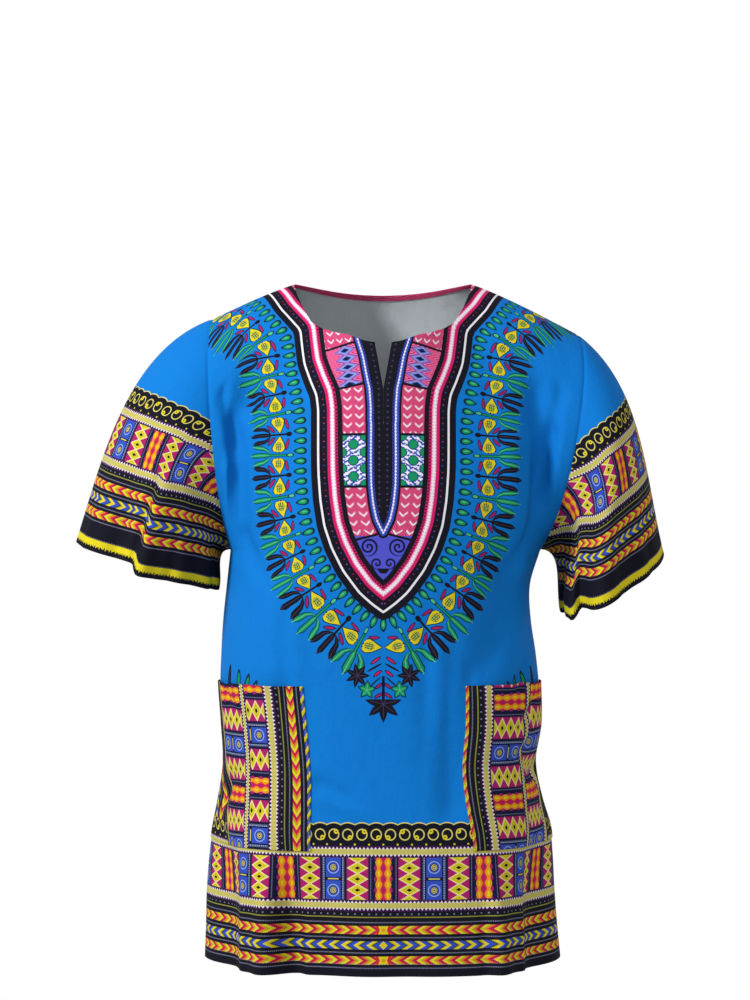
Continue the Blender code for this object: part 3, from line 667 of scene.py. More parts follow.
def lay_out(mesh, faces, values, under, outer_count, count):
    """The cloth's own map, which is its flat shape: one part for each layer."""
    x, y = (values[key][faces % count] for key in ("across", "up"))
    x, y = ((value - value.min()) / (value.max() - value.min()) for value in (x, y))
    outer = np.arange(len(faces)) < outer_count
    low, high = np.empty(len(faces)), np.empty(len(faces))
    for pick, part in ((outer & ~under, "outer"), (~outer & ~under, "inner"), (outer & under, "turned"),
                       (~outer & under, "turned_inner")):
        low[pick], high[pick] = MAP_PARTS[part]
    places = np.stack([low[:, None] + (high - low)[:, None] * x, y * MAP_HEIGHT + MAP_MARGIN], axis=-1)
    mesh.uv_layers.new(name="OFBake").data.foreach_set("uv", places.astype(np.float32).reshape(-1))


def body_grid(facing, shares, half=0):
    """A body panel, or half of the front, as a grid with its print numbers."""
    lower = with_edges(LOWER_COUNT)
    upper = with_edges(UPPER_COUNT, *SEAM_STEPS)[1:]
    rows = np.concatenate([
        np.broadcast_to(lower[:, None], (len(lower), len(shares))),
        1 + upper[:, None] * (neck_rows(facing, shares) - 1),
    ])
    shares = np.broadcast_to(shares, rows.shape)
    across, up = flat(facing, shares, rows)
    side_limit, _ = flat(facing, np.sign(shares + 1e-9), rows)
    _, top_limit = flat(facing, shares, np.full(rows.shape, 2.0))
    to_side = np.abs(side_limit) - np.abs(across)
    to_top = np.where(np.abs(shares) >= NECK_SHARE, top_limit - up, 1.0)
    grid = Grid(panel(facing, shares, rows, half), facing == BACK, across=across, up=up)
    grid.to_seam = np.minimum(to_side, to_top)
    grid.over_neck = np.abs(shares[-1]) <= NECK_SHARE + 1e-6
    return grid


def sleeve_grids(side, armhole):
    """A sleeve as two grids, in front of and behind the line from shoulder tip to cuff."""
    rows = with_edges(SLEEVE_COUNT, *SLEEVE_STEPS)
    rings = sleeve_rings(side, armhole, rows)
    rings = np.concatenate([rings, rings[:, :1]], axis=1)
    rises = np.linalg.norm(np.diff(rings, axis=0), axis=2)
    down = np.concatenate([np.zeros((1, rings.shape[1])), np.cumsum(rises, axis=0)])
    steps = np.linalg.norm(np.diff(rings, axis=1), axis=2)
    around = np.concatenate([np.zeros((len(rows), 1)), np.cumsum(steps, axis=1)], axis=1)
    half = rings.shape[1] // 2
    unstepped = (1 - ramp(*CUFF_STEP_FADE, rows))[:, None]
    lapped = cuff_step(side, np.linspace(0, 2, rings.shape[1])) * unstepped
    up = down[-1] - down - lapped
    grids = []
    for pick, shift in ((slice(0, half + 1), 0.0), (slice(half, None), 1.0)):
        across = around[:, pick] - shift * around[:, -1:]
        limit = around[:, -1:] - around[:, half:half + 1] if shift else around[:, half:half + 1]
        grid = Grid(rings[:, pick], side == "right", across=across, up=up[:, pick])
        grid.to_seam = np.minimum(down[:, pick], np.abs(limit - np.abs(across)))
        grids.append(grid)
    return grids


def pocket_grid(side):
    """A patch pocket on the front's form. Its print reads across from its inner edge, and up from the hem."""
    inner, outer = POCKET_SHARES[side]
    bottom, top = ((z - HEM_Z) / (ARMPIT_Z - HEM_Z) for z in POCKET_ROWS)
    x = with_edges(POCKET_COLUMNS, *POCKET_STEPS)
    if side == "right":
        x = x[::-1]
    y = with_edges(POCKET_COUNT, *POCKET_STEPS)[:, None]
    shares = SIDES[side] * np.broadcast_to(inner + (outer - inner) * x, (len(y), len(x)))
    rows = np.broadcast_to(bottom + (top - bottom) * y, shares.shape)
    shares = leaned(shares, rows)
    points = panel(FRONT, shares, rows)
    across, up = flat(FRONT, shares, rows)
    inner_across, _ = flat(FRONT, leaned(np.full(y.shape, SIDES[side] * inner), rows[:, :1]), rows[:, :1])
    normals = point_normals(points.reshape(-1, 3), grid_quads(*points.shape[:2])).reshape(points.shape)
    crown = 4 * x * (1 - x)
    lift = POCKET_LIFT + POCKET_BULGE * crown * np.sin(math.pi * y) ** 0.7 + POCKET_GAPE * crown * y**6
    grid = Grid(points + normals * lift[..., None], False, across=np.abs(across - inner_across), up=up)
    grid.normals = normals
    return grid


def shirt_grids():
    """The grids of both panels and both sleeves, with the cloth drawn in at their seams."""
    half_shares = with_edges(BODY_COLUMNS, *SEAM_STEPS)
    right = body_grid(FRONT, -half_shares[::-1], -1)
    left = body_grid(FRONT, half_shares, 1)
    sewn = left.points[:, 0, 2] <= SLIT_END_Z
    left.points[sewn, 0] = right.points[sewn, -1]
    back = body_grid(BACK, np.concatenate([-half_shares[::-1], half_shares[1:]]))
    grids = {"front": [right, left], "back": [back]}
    upper = slice(LOWER_COUNT, None)
    for side, half, edge in (("right", right, 0), ("left", left, -1)):
        down_front, up_back = half.points[upper, edge][::-1], back.points[upper, edge][1:-1]
        grids[f"sleeve_{side}"] = sleeve_grids(side, np.concatenate([down_front, up_back]))
    everything = [grid for group in grids.values() for grid in group]
    points = np.concatenate([grid.points.reshape(-1, 3) for grid in everything])
    starts = np.cumsum([0] + [grid.points.shape[0] * grid.points.shape[1] for grid in everything])
    quads = np.concatenate([grid.quads() + start for grid, start in zip(everything, starts)])
    normals = point_normals(points, quads, welded(points)[1])
    for grid, start, end in zip(everything, starts[:-1], starts[1:]):
        grid.normals = normals[start:end].reshape(grid.points.shape)
        dip = SEAM_DEPTH * np.exp(-((grid.to_seam / SEAM_WIDTH) ** 2))
        grid.points = grid.points - grid.normals * dip[..., None]
    return grids, sewn


def body_strips(grid, sewn, facing, half):
    """What is turned in or sewn to the other panels round a body panel's edges."""
    flip, columns, neck = facing == BACK, grid.points.shape[1], np.flatnonzero(grid.over_neck)
    strips = [grid.end_edge(False).strip(turned(HEM_WIDTH), False, flip),
              grid.end_edge(True, neck).strip(turned(NECK_HEM_WIDTH), True, flip)]
    for shoulder in (np.arange(0, neck[0] + 1), np.arange(neck[-1], columns)):
        if len(shoulder) > 1:
            strips.append(grid.end_edge(True, shoulder).strip(SEAM_OFFSETS, True, flip))
    open_rows = np.flatnonzero(~sewn)
    for last in (False, True):
        if half == (-1 if last else 1):
            strips.append(grid.side_edge(last, open_rows).strip(turned(NECK_HEM_WIDTH), last, flip, True))
        else:
            strips.append(grid.side_edge(last).strip(SEAM_OFFSETS, last, flip, True))
    return strips


def pocket_strips(grid):
    """A pocket's edges, turned in behind it."""
    width = turned(POCKET_HEM_WIDTH)
    return [grid.end_edge(last).strip(width, last, False) for last in (False, True)] + [
        grid.side_edge(last).strip(width, last, False, True) for last in (False, True)]


def add_print_numbers(grids):
    """What the neck print reads: distances from its lines, and ways along them."""
    right = grids["front"][0]
    leaves = even_line(cloth_at(LEAF_LINE, right), LINE_SPREAD, True)
    lines = {
        "outline": even_line(cloth_at(OUTLINE, right), BAND_SPREAD),
        "inner": even_line(cloth_at(INNER_STRIPE, right), BAND_SPREAD),
        "leaves": leaves,
        "units": even_line(offset_line(leaves, UNIT_OFFSET), LINE_SPREAD, True),
    }
    for grid in grids["front"]:
        add_lines(grid, lines, {name: 0.0 for name in lines})
    back = grids["back"][0]
    top = back.over_neck
    edge = np.stack([np.abs(back.values["across"][-1, top]), back.values["up"][-1, top]], axis=-1) * 1000
    edge = even_line(edge[:len(edge) // 2 + 1], BAND_SPREAD, True)
    share = np.linspace(0, 1, len(edge))
    drop = BACK_SEAM_DROP + (BACK_OUTLINE_DROP - BACK_SEAM_DROP) * np.sin(share * math.pi / 2)
    behind = {"outline": drop, "leaves": drop + LEAF_OUTSIDE, "units": drop + LEAF_OUTSIDE + UNIT_OFFSET}
    behind = {name: even_line(offset_line(edge, away), LINE_SPREAD, True) for name, away in behind.items()}
    add_lines(back, behind, {name: (len(lines[name]) + len(behind[name])) * LINE_STEP for name in behind})
    shape = back.points.shape[:2]
    back.values["inner_out"], back.values["inner_way"] = np.full(shape, PATCH_MIDDLE / 1000), np.zeros(shape)


def add_lines(grid, lines, whole):
    """Numbers in metres, as the rest. On the back the ways run on from the front's ends."""
    across, up = grid.values["across"] * 1000, grid.values["up"] * 1000
    for name, line in lines.items():
        out, along = from_line(across, up, line)
        if whole[name]:
            along = whole[name] - along
        if name == "units":
            places = UNIT_PLACES + tuple(UNIT_PLACES[-1] + UNIT_PITCH * k for k in range(1, MORE_UNITS + 1))
            along = np.interp(along, places, UNIT_PERIOD * np.arange(len(places)))
        grid.values[f"{name}_out"] = out / 1000
        grid.values[f"{name}_way"] = along / 1000


def in_view(points):
    """Where points show in the front view, in pixels."""
    size = PIXEL * (points[..., 1] - VIEW_Y) / -VIEW_Y
    return np.stack([(points[..., 0] - VIEW_X) / size + MIDDLE_PIXEL[0],
                     MIDDLE_PIXEL[1] - (points[..., 2] - VIEW_Z) / size], axis=-1)


def cloth_at(pixels, grid):
    """Cloth coordinates, in millimetres, of what shows at pixels of the front's right half."""
    seen = in_view(grid.points).reshape(-1, 2)
    cloth = np.stack([-grid.values["across"], grid.values["up"]], axis=-1).reshape(-1, 2) * 1000
    found = []
    for pixel in pixels:
        near = np.argsort(np.sum((seen - pixel) ** 2, axis=1))[:FIT_POINTS]
        rows = np.column_stack([seen[near] - pixel, np.ones(len(near))])
        found.append(np.linalg.lstsq(rows, cloth[near], rcond=None)[0][2])
    return np.array(found)


def even_line(line, spread=0.0, round_end=False):
    """A line at even steps, made smoother. It ends on the centre line, where it is pointed or rounded."""
    line = np.array(line)
    line[-1, 0] = 0.0
    run = np.concatenate([[0], np.cumsum(np.linalg.norm(np.diff(line, axis=0), axis=1))])
    at = np.linspace(0, run[-1], int(run[-1] / LINE_STEP))
    even = np.column_stack([np.interp(at, run, line[:, k]) for k in range(2)])
    if spread:
        pad = int(4 * spread / LINE_STEP)
        last = even[-pad - 1:-1][::-1]
        after = last * (-1, 1) if round_end else 2 * even[-1] - last
        padded = np.concatenate([2 * even[0] - even[1:pad + 1][::-1], even, after])
        window = np.exp(-((np.arange(-pad, pad + 1) * LINE_STEP / spread) ** 2))
        window /= window.sum()
        even = np.column_stack([np.convolve(padded[:, k], window, "valid") for k in range(2)])
        even[-1, 0] = 0.0
    return even


def offset_line(line, away):
    """The line moved out by a distance at each point."""
    along = unit(np.gradient(line, axis=0))
    moved = line + np.column_stack([-along[:, 1], along[:, 0]]) * np.reshape(away, (-1, 1))
    keep = moved[:, 0] >= 0
    return np.concatenate([moved[keep], [[0.0, moved[-1, 1]]]])


def from_line(across, up, line):
    """Distance outside a line, and the way along it from its end on the centre line."""
    first, last = line[0] - line[1], int(LINE_REACH / LINE_STEP)
    before = line[0] + first / np.linalg.norm(first) * np.arange(last, 0, -1)[:, None] * LINE_STEP
    beyond = line[-last - 1:-1][::-1] * (-1, 1)
    whole = np.concatenate([before, line, beyond])
    run = np.concatenate([[0], np.cumsum(np.linalg.norm(np.diff(whole, axis=0), axis=1))])
    points = np.column_stack([np.abs(across).reshape(-1), up.reshape(-1)])
    steps = np.diff(whole, axis=0)
    out, along = np.empty(len(points)), np.empty(len(points))
    for start in range(0, len(points), CHUNK):
        some = points[start:start + CHUNK, None] - whole[None, :-1]
        share = np.clip(np.sum(some * steps, axis=2) / np.sum(steps**2, axis=1), 0, 1)
        gap = some - steps * share[..., None]
        nearest = np.argmin(np.sum(gap**2, axis=2), axis=1)
        pick = np.arange(len(nearest)), nearest
        side = steps[nearest, 0] * some[pick][:, 1] - steps[nearest, 1] * some[pick][:, 0]
        out[start:start + CHUNK] = np.sign(side) * np.linalg.norm(gap[pick], axis=1)
        along[start:start + CHUNK] = run[nearest] + share[pick] * np.linalg.norm(steps[nearest], axis=1)
    ends_at = run[last + len(line) - 1]
    return out.reshape(across.shape), np.abs(ends_at - along).reshape(across.shape)


# How brightly the stage lights the cloth
LIGHT = 1.42


def linear(red, green, blue):
    """A colour of the picture as a cloth colour."""
    return tuple(((c / 255 + 0.055) / 1.055) ** 2.4 / LIGHT for c in (red, green, blue)) + (1.0,)


BLUE = linear(8, 121, 209)
BLACK = linear(20, 20, 33)
NAVY = linear(20, 24, 60)
PURPLE = linear(58, 22, 74)
WHITE = linear(238, 236, 242)
TOOTH_WHITE = linear(232, 224, 232)
YELLOW = linear(222, 206, 34)
YELLOW_GREEN = linear(216, 204, 112)
OLIVE = linear(140, 140, 60)
ORANGE = linear(232, 150, 30)
RED = linear(212, 42, 60)
CRIMSON = linear(180, 26, 70)
PINK = linear(212, 30, 104)
PALE_PINK = linear(236, 150, 190)
MAGENTA = linear(170, 32, 104)
GREEN = linear(22, 146, 96)
LIGHT_GREEN = linear(84, 190, 132)
DARK_GREEN = linear(8, 48, 72)
ROYAL = linear(52, 78, 186)
VIOLET = linear(82, 84, 205)
PALE_BLUE = linear(150, 180, 225)
GREY = linear(122, 122, 150)
DIM = linear(72, 60, 88)
CREAM = linear(228, 222, 170)
INSIDE = linear(206, 213, 218)

# The colours of an arrow of the chains, from its tip to the next one's
RED_ARROW = ((0.0, YELLOW), (0.30, YELLOW), (0.40, OLIVE), (0.50, ORANGE), (0.66, RED), (0.82, CRIMSON),
             (1.0, MAGENTA))
BLUE_ARROW = ((0.0, YELLOW), (0.30, YELLOW), (0.40, OLIVE), (0.52, NAVY), (0.62, ROYAL), (0.9, ROYAL),
              (1.0, VIOLET))


def by_node(operation):
    """A method that one math node works out."""
    def method(self, *others):
        return self.net.math(operation, self, *others)
    return method


class Number:
    """A number that shader nodes work out at each point of the cloth."""

    __add__, __sub__, __mul__, __truediv__ = map(by_node, ("ADD", "SUBTRACT", "MULTIPLY", "DIVIDE"))
    __radd__, __rmul__, __abs__ = __add__, __mul__, by_node("ABSOLUTE")
    less, more, near = map(by_node, ("LESS_THAN", "GREATER_THAN", "COMPARE"))
    least, most, share, sign = map(by_node, ("MINIMUM", "MAXIMUM", "FRACT", "SIGN"))

    def __init__(self, net, socket):
        self.net, self.socket = net, socket

    def __rsub__(self, other):
        return self.net.math("SUBTRACT", other, self)

    def wrap(self, period):
        """The distance from the nearest multiple of a period."""
        return self.net.math("WRAP", self, period / 2, -period / 2)

    def marks(self, period, half):
        """Marks of a half width, one in each period."""
        return self.wrap(period).near(0, half)

    def wave(self, period):
        return self.net.math("COSINE", self * (2 * math.pi / period))


class Net:
    """Shader nodes of one material."""

    def __init__(self, name):
        self.material = bpy.data.materials.new(name)
        self.material.use_nodes = True
        self.tree = self.material.node_tree
        self.shader = self.tree.nodes["Principled BSDF"]

    def node(self, kind, **settings):
        made = self.tree.nodes.new(kind)
        for name, value in settings.items():
            setattr(made, name, value)
        return made

    def put(self, socket, value):
        if isinstance(value, Number):
            value = value.socket
        if isinstance(value, bpy.types.NodeSocket):
            self.tree.links.new(value, socket)
        elif socket.type == "VECTOR":
            socket.default_value = value[:3]
        else:
            socket.default_value = value

    def math(self, operation, *values):
        made = self.node("ShaderNodeMath", operation=operation)
        for socket, value in zip(made.inputs, values):
            self.put(socket, value)
        return Number(self, made.outputs[0])

    def read(self, name):
        """An attribute of the cloth, in millimetres."""
        made = self.node("ShaderNodeAttribute", attribute_name=name)
        return Number(self, made.outputs["Fac"]) * 1000

    def vector(self, x, y):
        made = self.node("ShaderNodeCombineXYZ")
        self.put(made.inputs[0], x)
        self.put(made.inputs[1], y)
        return made.outputs[0]

    def blob(self, x, y, middle=(0, 0), radii=(1, 1), turn=0.0):
        """How far out a point lies in an oval that ends at 1. Its first radius turns from x towards y."""
        place = self.node("ShaderNodeMapping", vector_type="TEXTURE")
        self.put(place.inputs["Vector"], self.vector(x, y))
        place.inputs["Location"].default_value = (*middle, 0)
        place.inputs["Rotation"].default_value = (0, 0, math.radians(turn))
        place.inputs["Scale"].default_value = (*radii, 1)
        size = self.node("ShaderNodeVectorMath", operation="LENGTH")
        self.put(size.inputs[0], place.outputs[0])
        return Number(self, size.outputs["Value"])

    def ramp(self, value, stops, steps=False):
        """A colour for each value from 0 to 1."""
        made = self.node("ShaderNodeValToRGB")
        made.color_ramp.interpolation = "CONSTANT" if steps else "LINEAR"
        while len(made.color_ramp.elements) < len(stops):
            made.color_ramp.elements.new(1.0)
        for element, (place, colour) in zip(made.color_ramp.elements, stops):
            element.position = place
            element.color = colour
        self.put(made.inputs[0], value)
        return made.outputs[0]

    def profile(self, value, *stops):
        """A number that changes in straight lines between the given pairs of place and number."""
        (low, _), (high, _) = stops[0], stops[-1]
        most = max(number for _, number in stops)
        greys = [((place - low) / (high - low), (number / most,) * 3 + (1.0,)) for place, number in stops]
        return Number(self, self.ramp((value - low) / (high - low), greys)) * most

    def noise(self, x, y, detail=2.0):
        made = self.node("ShaderNodeTexNoise", noise_dimensions="2D")
        made.inputs["Scale"].default_value = 1.0
        made.inputs["Detail"].default_value = detail
        self.put(made.inputs["Vector"], self.vector(x, y))
        return Number(self, made.outputs[0])


class Ink:
    """Colours put over each other."""

    def __init__(self, net, colour):
        self.net, self.colour = net, colour

    def put(self, mask, colour):
        made = self.net.node("ShaderNodeMix", data_type="RGBA")
        self.net.put(made.inputs[0], mask)
        self.net.put(made.inputs[6], self.colour)
        self.net.put(made.inputs[7], colour)
        self.colour = made.outputs[2]


def finish_cloth(net, ink, u, v):
    """The weave, its slubs and small creases, and the dull shine of printed cotton."""
    shader = net.shader
    long, short = SLUB_SCALES
    slubs = net.noise(u * long, v * short) + net.noise(u * short, v * long)
    made = net.node("ShaderNodeVectorMath", operation="SCALE")
    net.put(made.inputs[0], ink.colour)
    net.put(made.inputs["Scale"], slubs * 0.14 + 0.86)
    net.put(shader.inputs["Base Color"], made.outputs[0])
    weave = u.wave(WEAVE_PITCH) * v.wave(WEAVE_PITCH)
    creases = net.noise(u * CREASE_SCALES[0], v * CREASE_SCALES[1], 3.0)
    bump = net.node("ShaderNodeBump")
    bump.inputs["Strength"].default_value = 0.55
    bump.inputs["Distance"].default_value = 0.001
    net.put(bump.inputs["Height"], weave * WEAVE_HEIGHT + slubs * SLUB_HEIGHT + creases * CREASE_HEIGHT)
    net.put(shader.inputs["Normal"], bump.outputs[0])
    net.put(shader.inputs["Roughness"], slubs * 0.08 + 0.74)
    shader.inputs["Specular IOR Level"].default_value = 0.08
    return net.material


def plain_cloth(name, colour):
    net = Net(name)
    return finish_cloth(net, Ink(net, colour), net.read("across"), net.read("up"))


def draw_zigzag(ink, u, off, core=3.0, tooth=2.0, pitch=4.06):
    """A ribbed band with white teeth along both sides."""
    size = abs(off)
    between = abs(u.wrap(pitch)) * (2 / pitch)
    band = size.less(core - 0.3)
    ink.put(size.less(core + tooth + 1.1), PURPLE)
    ink.put(size.less(core + tooth - between * (tooth + 0.8)), TOOTH_WHITE)
    ink.put(band, YELLOW_GREEN)
    ink.put(band * (u + size * 1.2).marks(pitch / 2, 0.33), OLIVE)


def draw_patches(net, u, v):
    """The band of printed patches: orange columns, diamonds, blue fields with discs, diamonds again."""
    ink = Ink(net, NAVY)
    t, y = abs(u.wrap(PATCH_PERIOD)), v - BAND_LOW
    stripes = (t - STRIPES_AT[0]).near(0, 0.5).most((t - STRIPES_AT[1]).near(0, 0.5))
    ink.put(stripes * v.marks(1.5, 0.45), GREY)
    wave = y.wave(DIAMOND_PITCH)
    ink.put(t.less(8.4 + wave * 1.2), MAGENTA)
    ink.put(t.less(7.4 - wave * 0.9), ORANGE)
    ink.put(t.near(4.8, 1.0) * wave.less(-0.2), YELLOW)
    ink.put(t.less(2.3 + wave * 1.1), RED)
    ink.put(t.less(0.9 + wave), MAGENTA)
    x = abs(t - DIAMONDS_AT)
    m = x / 9.9 + abs(y.wrap(DIAMOND_PITCH)) / 5.7
    field = x.less(11.3)
    for mask, colour in ((field, MAGENTA), (field * m.less(1.16), CREAM), (field * m.less(0.98), YELLOW),
                         (field * m.near(0.62, 0.05), OLIVE), (m.less(0.33) * y.near(22.8, 17.0), BLACK)):
        ink.put(mask, colour)
    x, across = t - DISCS_AT, abs(y - 22.7)
    disc = net.blob(x, across, (0, 11.9))
    for mask, colour in ((x.near(0, 8.2), ROYAL), (abs(x).near(10.3, 0.45) * v.marks(2.4, 0.8), PALE_BLUE),
                         (disc.near(6.0, 0.45), PALE_BLUE), (disc.less(4.0), NAVY),
                         (disc.less(3.2), YELLOW_GREEN),
                         (disc.near(2.2, 0.35).most(disc.less(0.9)), DARK_GREEN),
                         (across.less(1.6) * x.near(0, 8.6), BLACK),
                         (across.less(0.6) * x.near(0, 6.0), YELLOW_GREEN)):
        ink.put(mask, colour)
    return ink.colour


def draw_chains(net, ink, u, c, v):
    """The three chains of arrows between dotted lines. Arrows run along c."""
    dotted = (v - DOTTED_LOW).marks(CHAIN_PITCH, 0.62) * v.near(CHAIN_MIDDLE, DOTTED_HALF)
    ink.put(dotted * u.marks(DOT_PITCH, DOT_HALF), GREY)
    y = (v - CHAIN_LOW).wrap(CHAIN_PITCH)
    lean = abs(y) * ARROW_LEAN
    arrow = net.ramp(((c - ARROW_TIP - lean) / ARROW_PERIOD).share(), RED_ARROW)
    mask = y.near(0, CHAIN_HALF) * v.near(CHAIN_MIDDLE, CHAINS_HALF)
    ink.put(mask, arrow)
    ink.put(mask * abs(c).less(7.4), RED)
    ink.put(mask * (abs(c) - abs(y) * 0.4).less(3.6), YELLOW)
    ink.put(mask * abs(c).less(1.8) * abs(y).less(1.6), ORANGE)
    arrow = net.ramp(((BLUE_ARROW_TIP - c - lean) / ARROW_PERIOD).share(), BLUE_ARROW)
    second = v.near(CHAIN_MIDDLE, CHAIN_HALF)
    ink.put(second, arrow)
    ink.put(second * (abs(c) + abs(y)).less(4.4), YELLOW)
    ink.put(v.near(61.5, 0.6), OLIVE)
    ink.put(v.near(64.7, 0.8) * u.marks(7.4, 0.8), GREY)


def draw_rings(net, ink, u, v):
    """The row of rings under the scalloped edge, and the scallops."""
    size, y = abs(u), v - RING_UP
    x = (size - RING_PITCH / 2).wrap(RING_PITCH)
    turn = (size + 1e-3).wrap(2 * RING_PITCH).sign()
    ink.put(v.near(136.8, 0.9) * size.marks(RING_PITCH, 0.9), YELLOW)
    ink.put(net.blob(x, y, (0, 0), (1.0, 1.04)).near(5.3, 0.62), YELLOW_GREEN)
    bud = net.blob(x, y * turn, (-2.5, -3.1))
    ink.put(bud.less(2.5), YELLOW)
    ink.put(bud.less(0.8), DARK_GREEN)
    rise = v - SCALLOP_UP + x * x * 0.040
    ink.put(rise.more(2.2), BLUE)
    ink.put(rise.near(2.2, 0.6), YELLOW_GREEN)


def draw_stitches(ink, along, off, colour):
    """A row of stitches along a turned edge."""
    ink.put(along.marks(STITCH_PITCH, STITCH_PITCH * 0.32) * off.near(0, 0.28), colour)


def draw_border(net, u, v, c=None):
    """The border's bands. Its chains run along c, or else both ways from the centre line."""
    ink = Ink(net, BLACK)
    ink.put(v.near((BAND_LOW + BAND_HIGH) / 2, (BAND_HIGH - BAND_LOW) / 2), draw_patches(net, u, v))
    draw_chains(net, ink, u, abs(u) if c is None else c, v)
    draw_zigzag(ink, u, v - LOW_ZIGZAG)
    draw_zigzag(ink, u, v - HIGH_ZIGZAG)
    return ink


def border_cloth():
    net = Net("border_print")
    u, v = net.read("across"), net.read("up")
    ink = draw_border(net, u, v)
    draw_rings(net, ink, u, v)
    draw_stitches(ink, u, v - HEM_WIDTH * 900, GREY)
    return finish_cloth(net, ink, u, v)


def sleeve_cloth():
    net = Net("sleeve_print")
    u, up = net.read("across"), net.read("up")
    v = up - SLEEVE_SHIFT
    ink = draw_border(net, u, v)
    draw_rings(net, ink, u, v)
    ragged = abs(u.wrap(2.3)) * 1.5 + abs(u.wrap(3.7)) * 1.1 + net.noise(u * 0.6, 0.0) * 2.5
    ink.put(up.less(12.5) * up.more(ragged + 2.2), YELLOW)
    draw_stitches(ink, u, up - HEM_WIDTH * 950, GREY)
    return finish_cloth(net, ink, u, up)


def pocket_cloth(side):
    """The border turned on its side, its arrows pointing down, with a second strip of it beyond a tuck."""
    net = Net(f"pocket_{side}_print")
    edge, split, tuck, stretch, orange, orange_beyond, limit = POCKETS[side].values()
    p, up = net.read("across"), net.read("up")
    beyond = p.more(split)
    near, far = p + edge, (p - split - tuck / 2) * stretch + BAND_LOW
    u = up - orange + beyond * (orange - orange_beyond)
    ink = draw_border(net, u, near + (far - near) * beyond, up + FAR_ALONG)
    draw_zigzag(ink, u, p - split, core=1.9, tooth=1.2, pitch=3.6)
    ink.put(p.more(limit - 4.0), BLACK)
    outside, low = Ink(net, BLACK), Ink(net, BLACK)
    draw_chains(net, outside, up, up + FAR_ALONG, p - limit - 3.4)
    draw_rings(net, low, p, up)
    draw_zigzag(low, p, up - HIGH_ZIGZAG)
    outside.put(up.less(SCALLOP_UP - 4.0), low.colour)
    ink.put(p.more(limit), outside.colour)
    ink.put(p.near(limit - 4.0, 0.9), YELLOW_GREEN)
    ink.put(p.near(limit + 3.0, 0.5) * up.marks(DOT_PITCH, DOT_HALF), GREY)
    draw_stitches(ink, up, p - 1.6, OLIVE)
    return finish_cloth(net, ink, p, up)


def bead_stripe(ink, off, way, half, colour):
    """A stripe with white beads along its middle and small dark squares along its inner side."""
    ink.put(off.near(0, half), colour)
    ink.put(off.near(1.1 - half, 0.8) * way.marks(BEAD_PITCH, 0.9), BLACK)
    ink.put(off.near(0, half * 0.44), PALE_PINK if colour is PINK else VIOLET)
    ink.put((abs(off) + abs(way.wrap(BEAD_PITCH)) * 0.9).less(half * 0.40), WHITE)
    ink.put(off.near(0, half * 0.12), WHITE)


def draw_spiral(net, ink, x, y, radius, turns, way):
    """A scroll: an even spiral inside a ring."""
    size = net.blob(x, y)
    angle = net.math("ARCTAN2", y * way, x) / (2 * math.pi)
    pitch = radius / turns
    ink.put(size.less(radius) * (size / pitch - angle).share().less(0.45), NAVY)


def chevron_patch(net, e, v):
    """Fine chevrons with rows of white arrows."""
    ink = Ink(net, PINK)
    off = (e - PATCH_MIDDLE + 6.25).wrap(12.5)
    slope = v - abs(off) * 0.9
    ink.put(slope.marks(2.35, 0.22), PALE_PINK)
    ink.put((slope + 1.2).marks(2.35, 0.30), CRIMSON)
    ink.put(slope.marks(9.4, 1.0) * off.near(0, 4.3), WHITE)
    return ink.colour


def diamond_patch(net, e, y):
    """Blue diamonds inside each other."""
    ink = Ink(net, PINK)
    m = abs(e - 20.5) / 11.5 + abs((y + 6.5).wrap(9.6)) / 4.8
    for mask, colour in ((m.marks(0.5, 0.08), PALE_PINK), (m.near(1.22, 0.12), ROYAL), (m.less(0.98), ROYAL),
                         (m.near(0.74, 0.10), PALE_BLUE), (m.less(0.44), NAVY)):
        ink.put(mask, colour)
    return ink.colour


def cell_patch(net, e, y):
    """Green cells in a white net."""
    ink = Ink(net, ROYAL)
    x, step = e - PATCH_MIDDLE, CELL_PITCH / 2
    nearest = net.blob(x, y.wrap(CELL_PITCH)).least(net.blob(abs(x) - 12.0, (y + step).wrap(CELL_PITCH)))
    ink.put((y + x).marks(4.2, 0.8) * (y - x).marks(4.2, 0.8), WHITE)
    ink.put(nearest.near(6.9, 1.1) * (y + x * 0.5).marks(5.2, 1.5), WHITE)
    ink.put(nearest.less(5.2), DARK_GREEN)
    ink.put(nearest.less(4.6), GREEN)
    return ink.colour


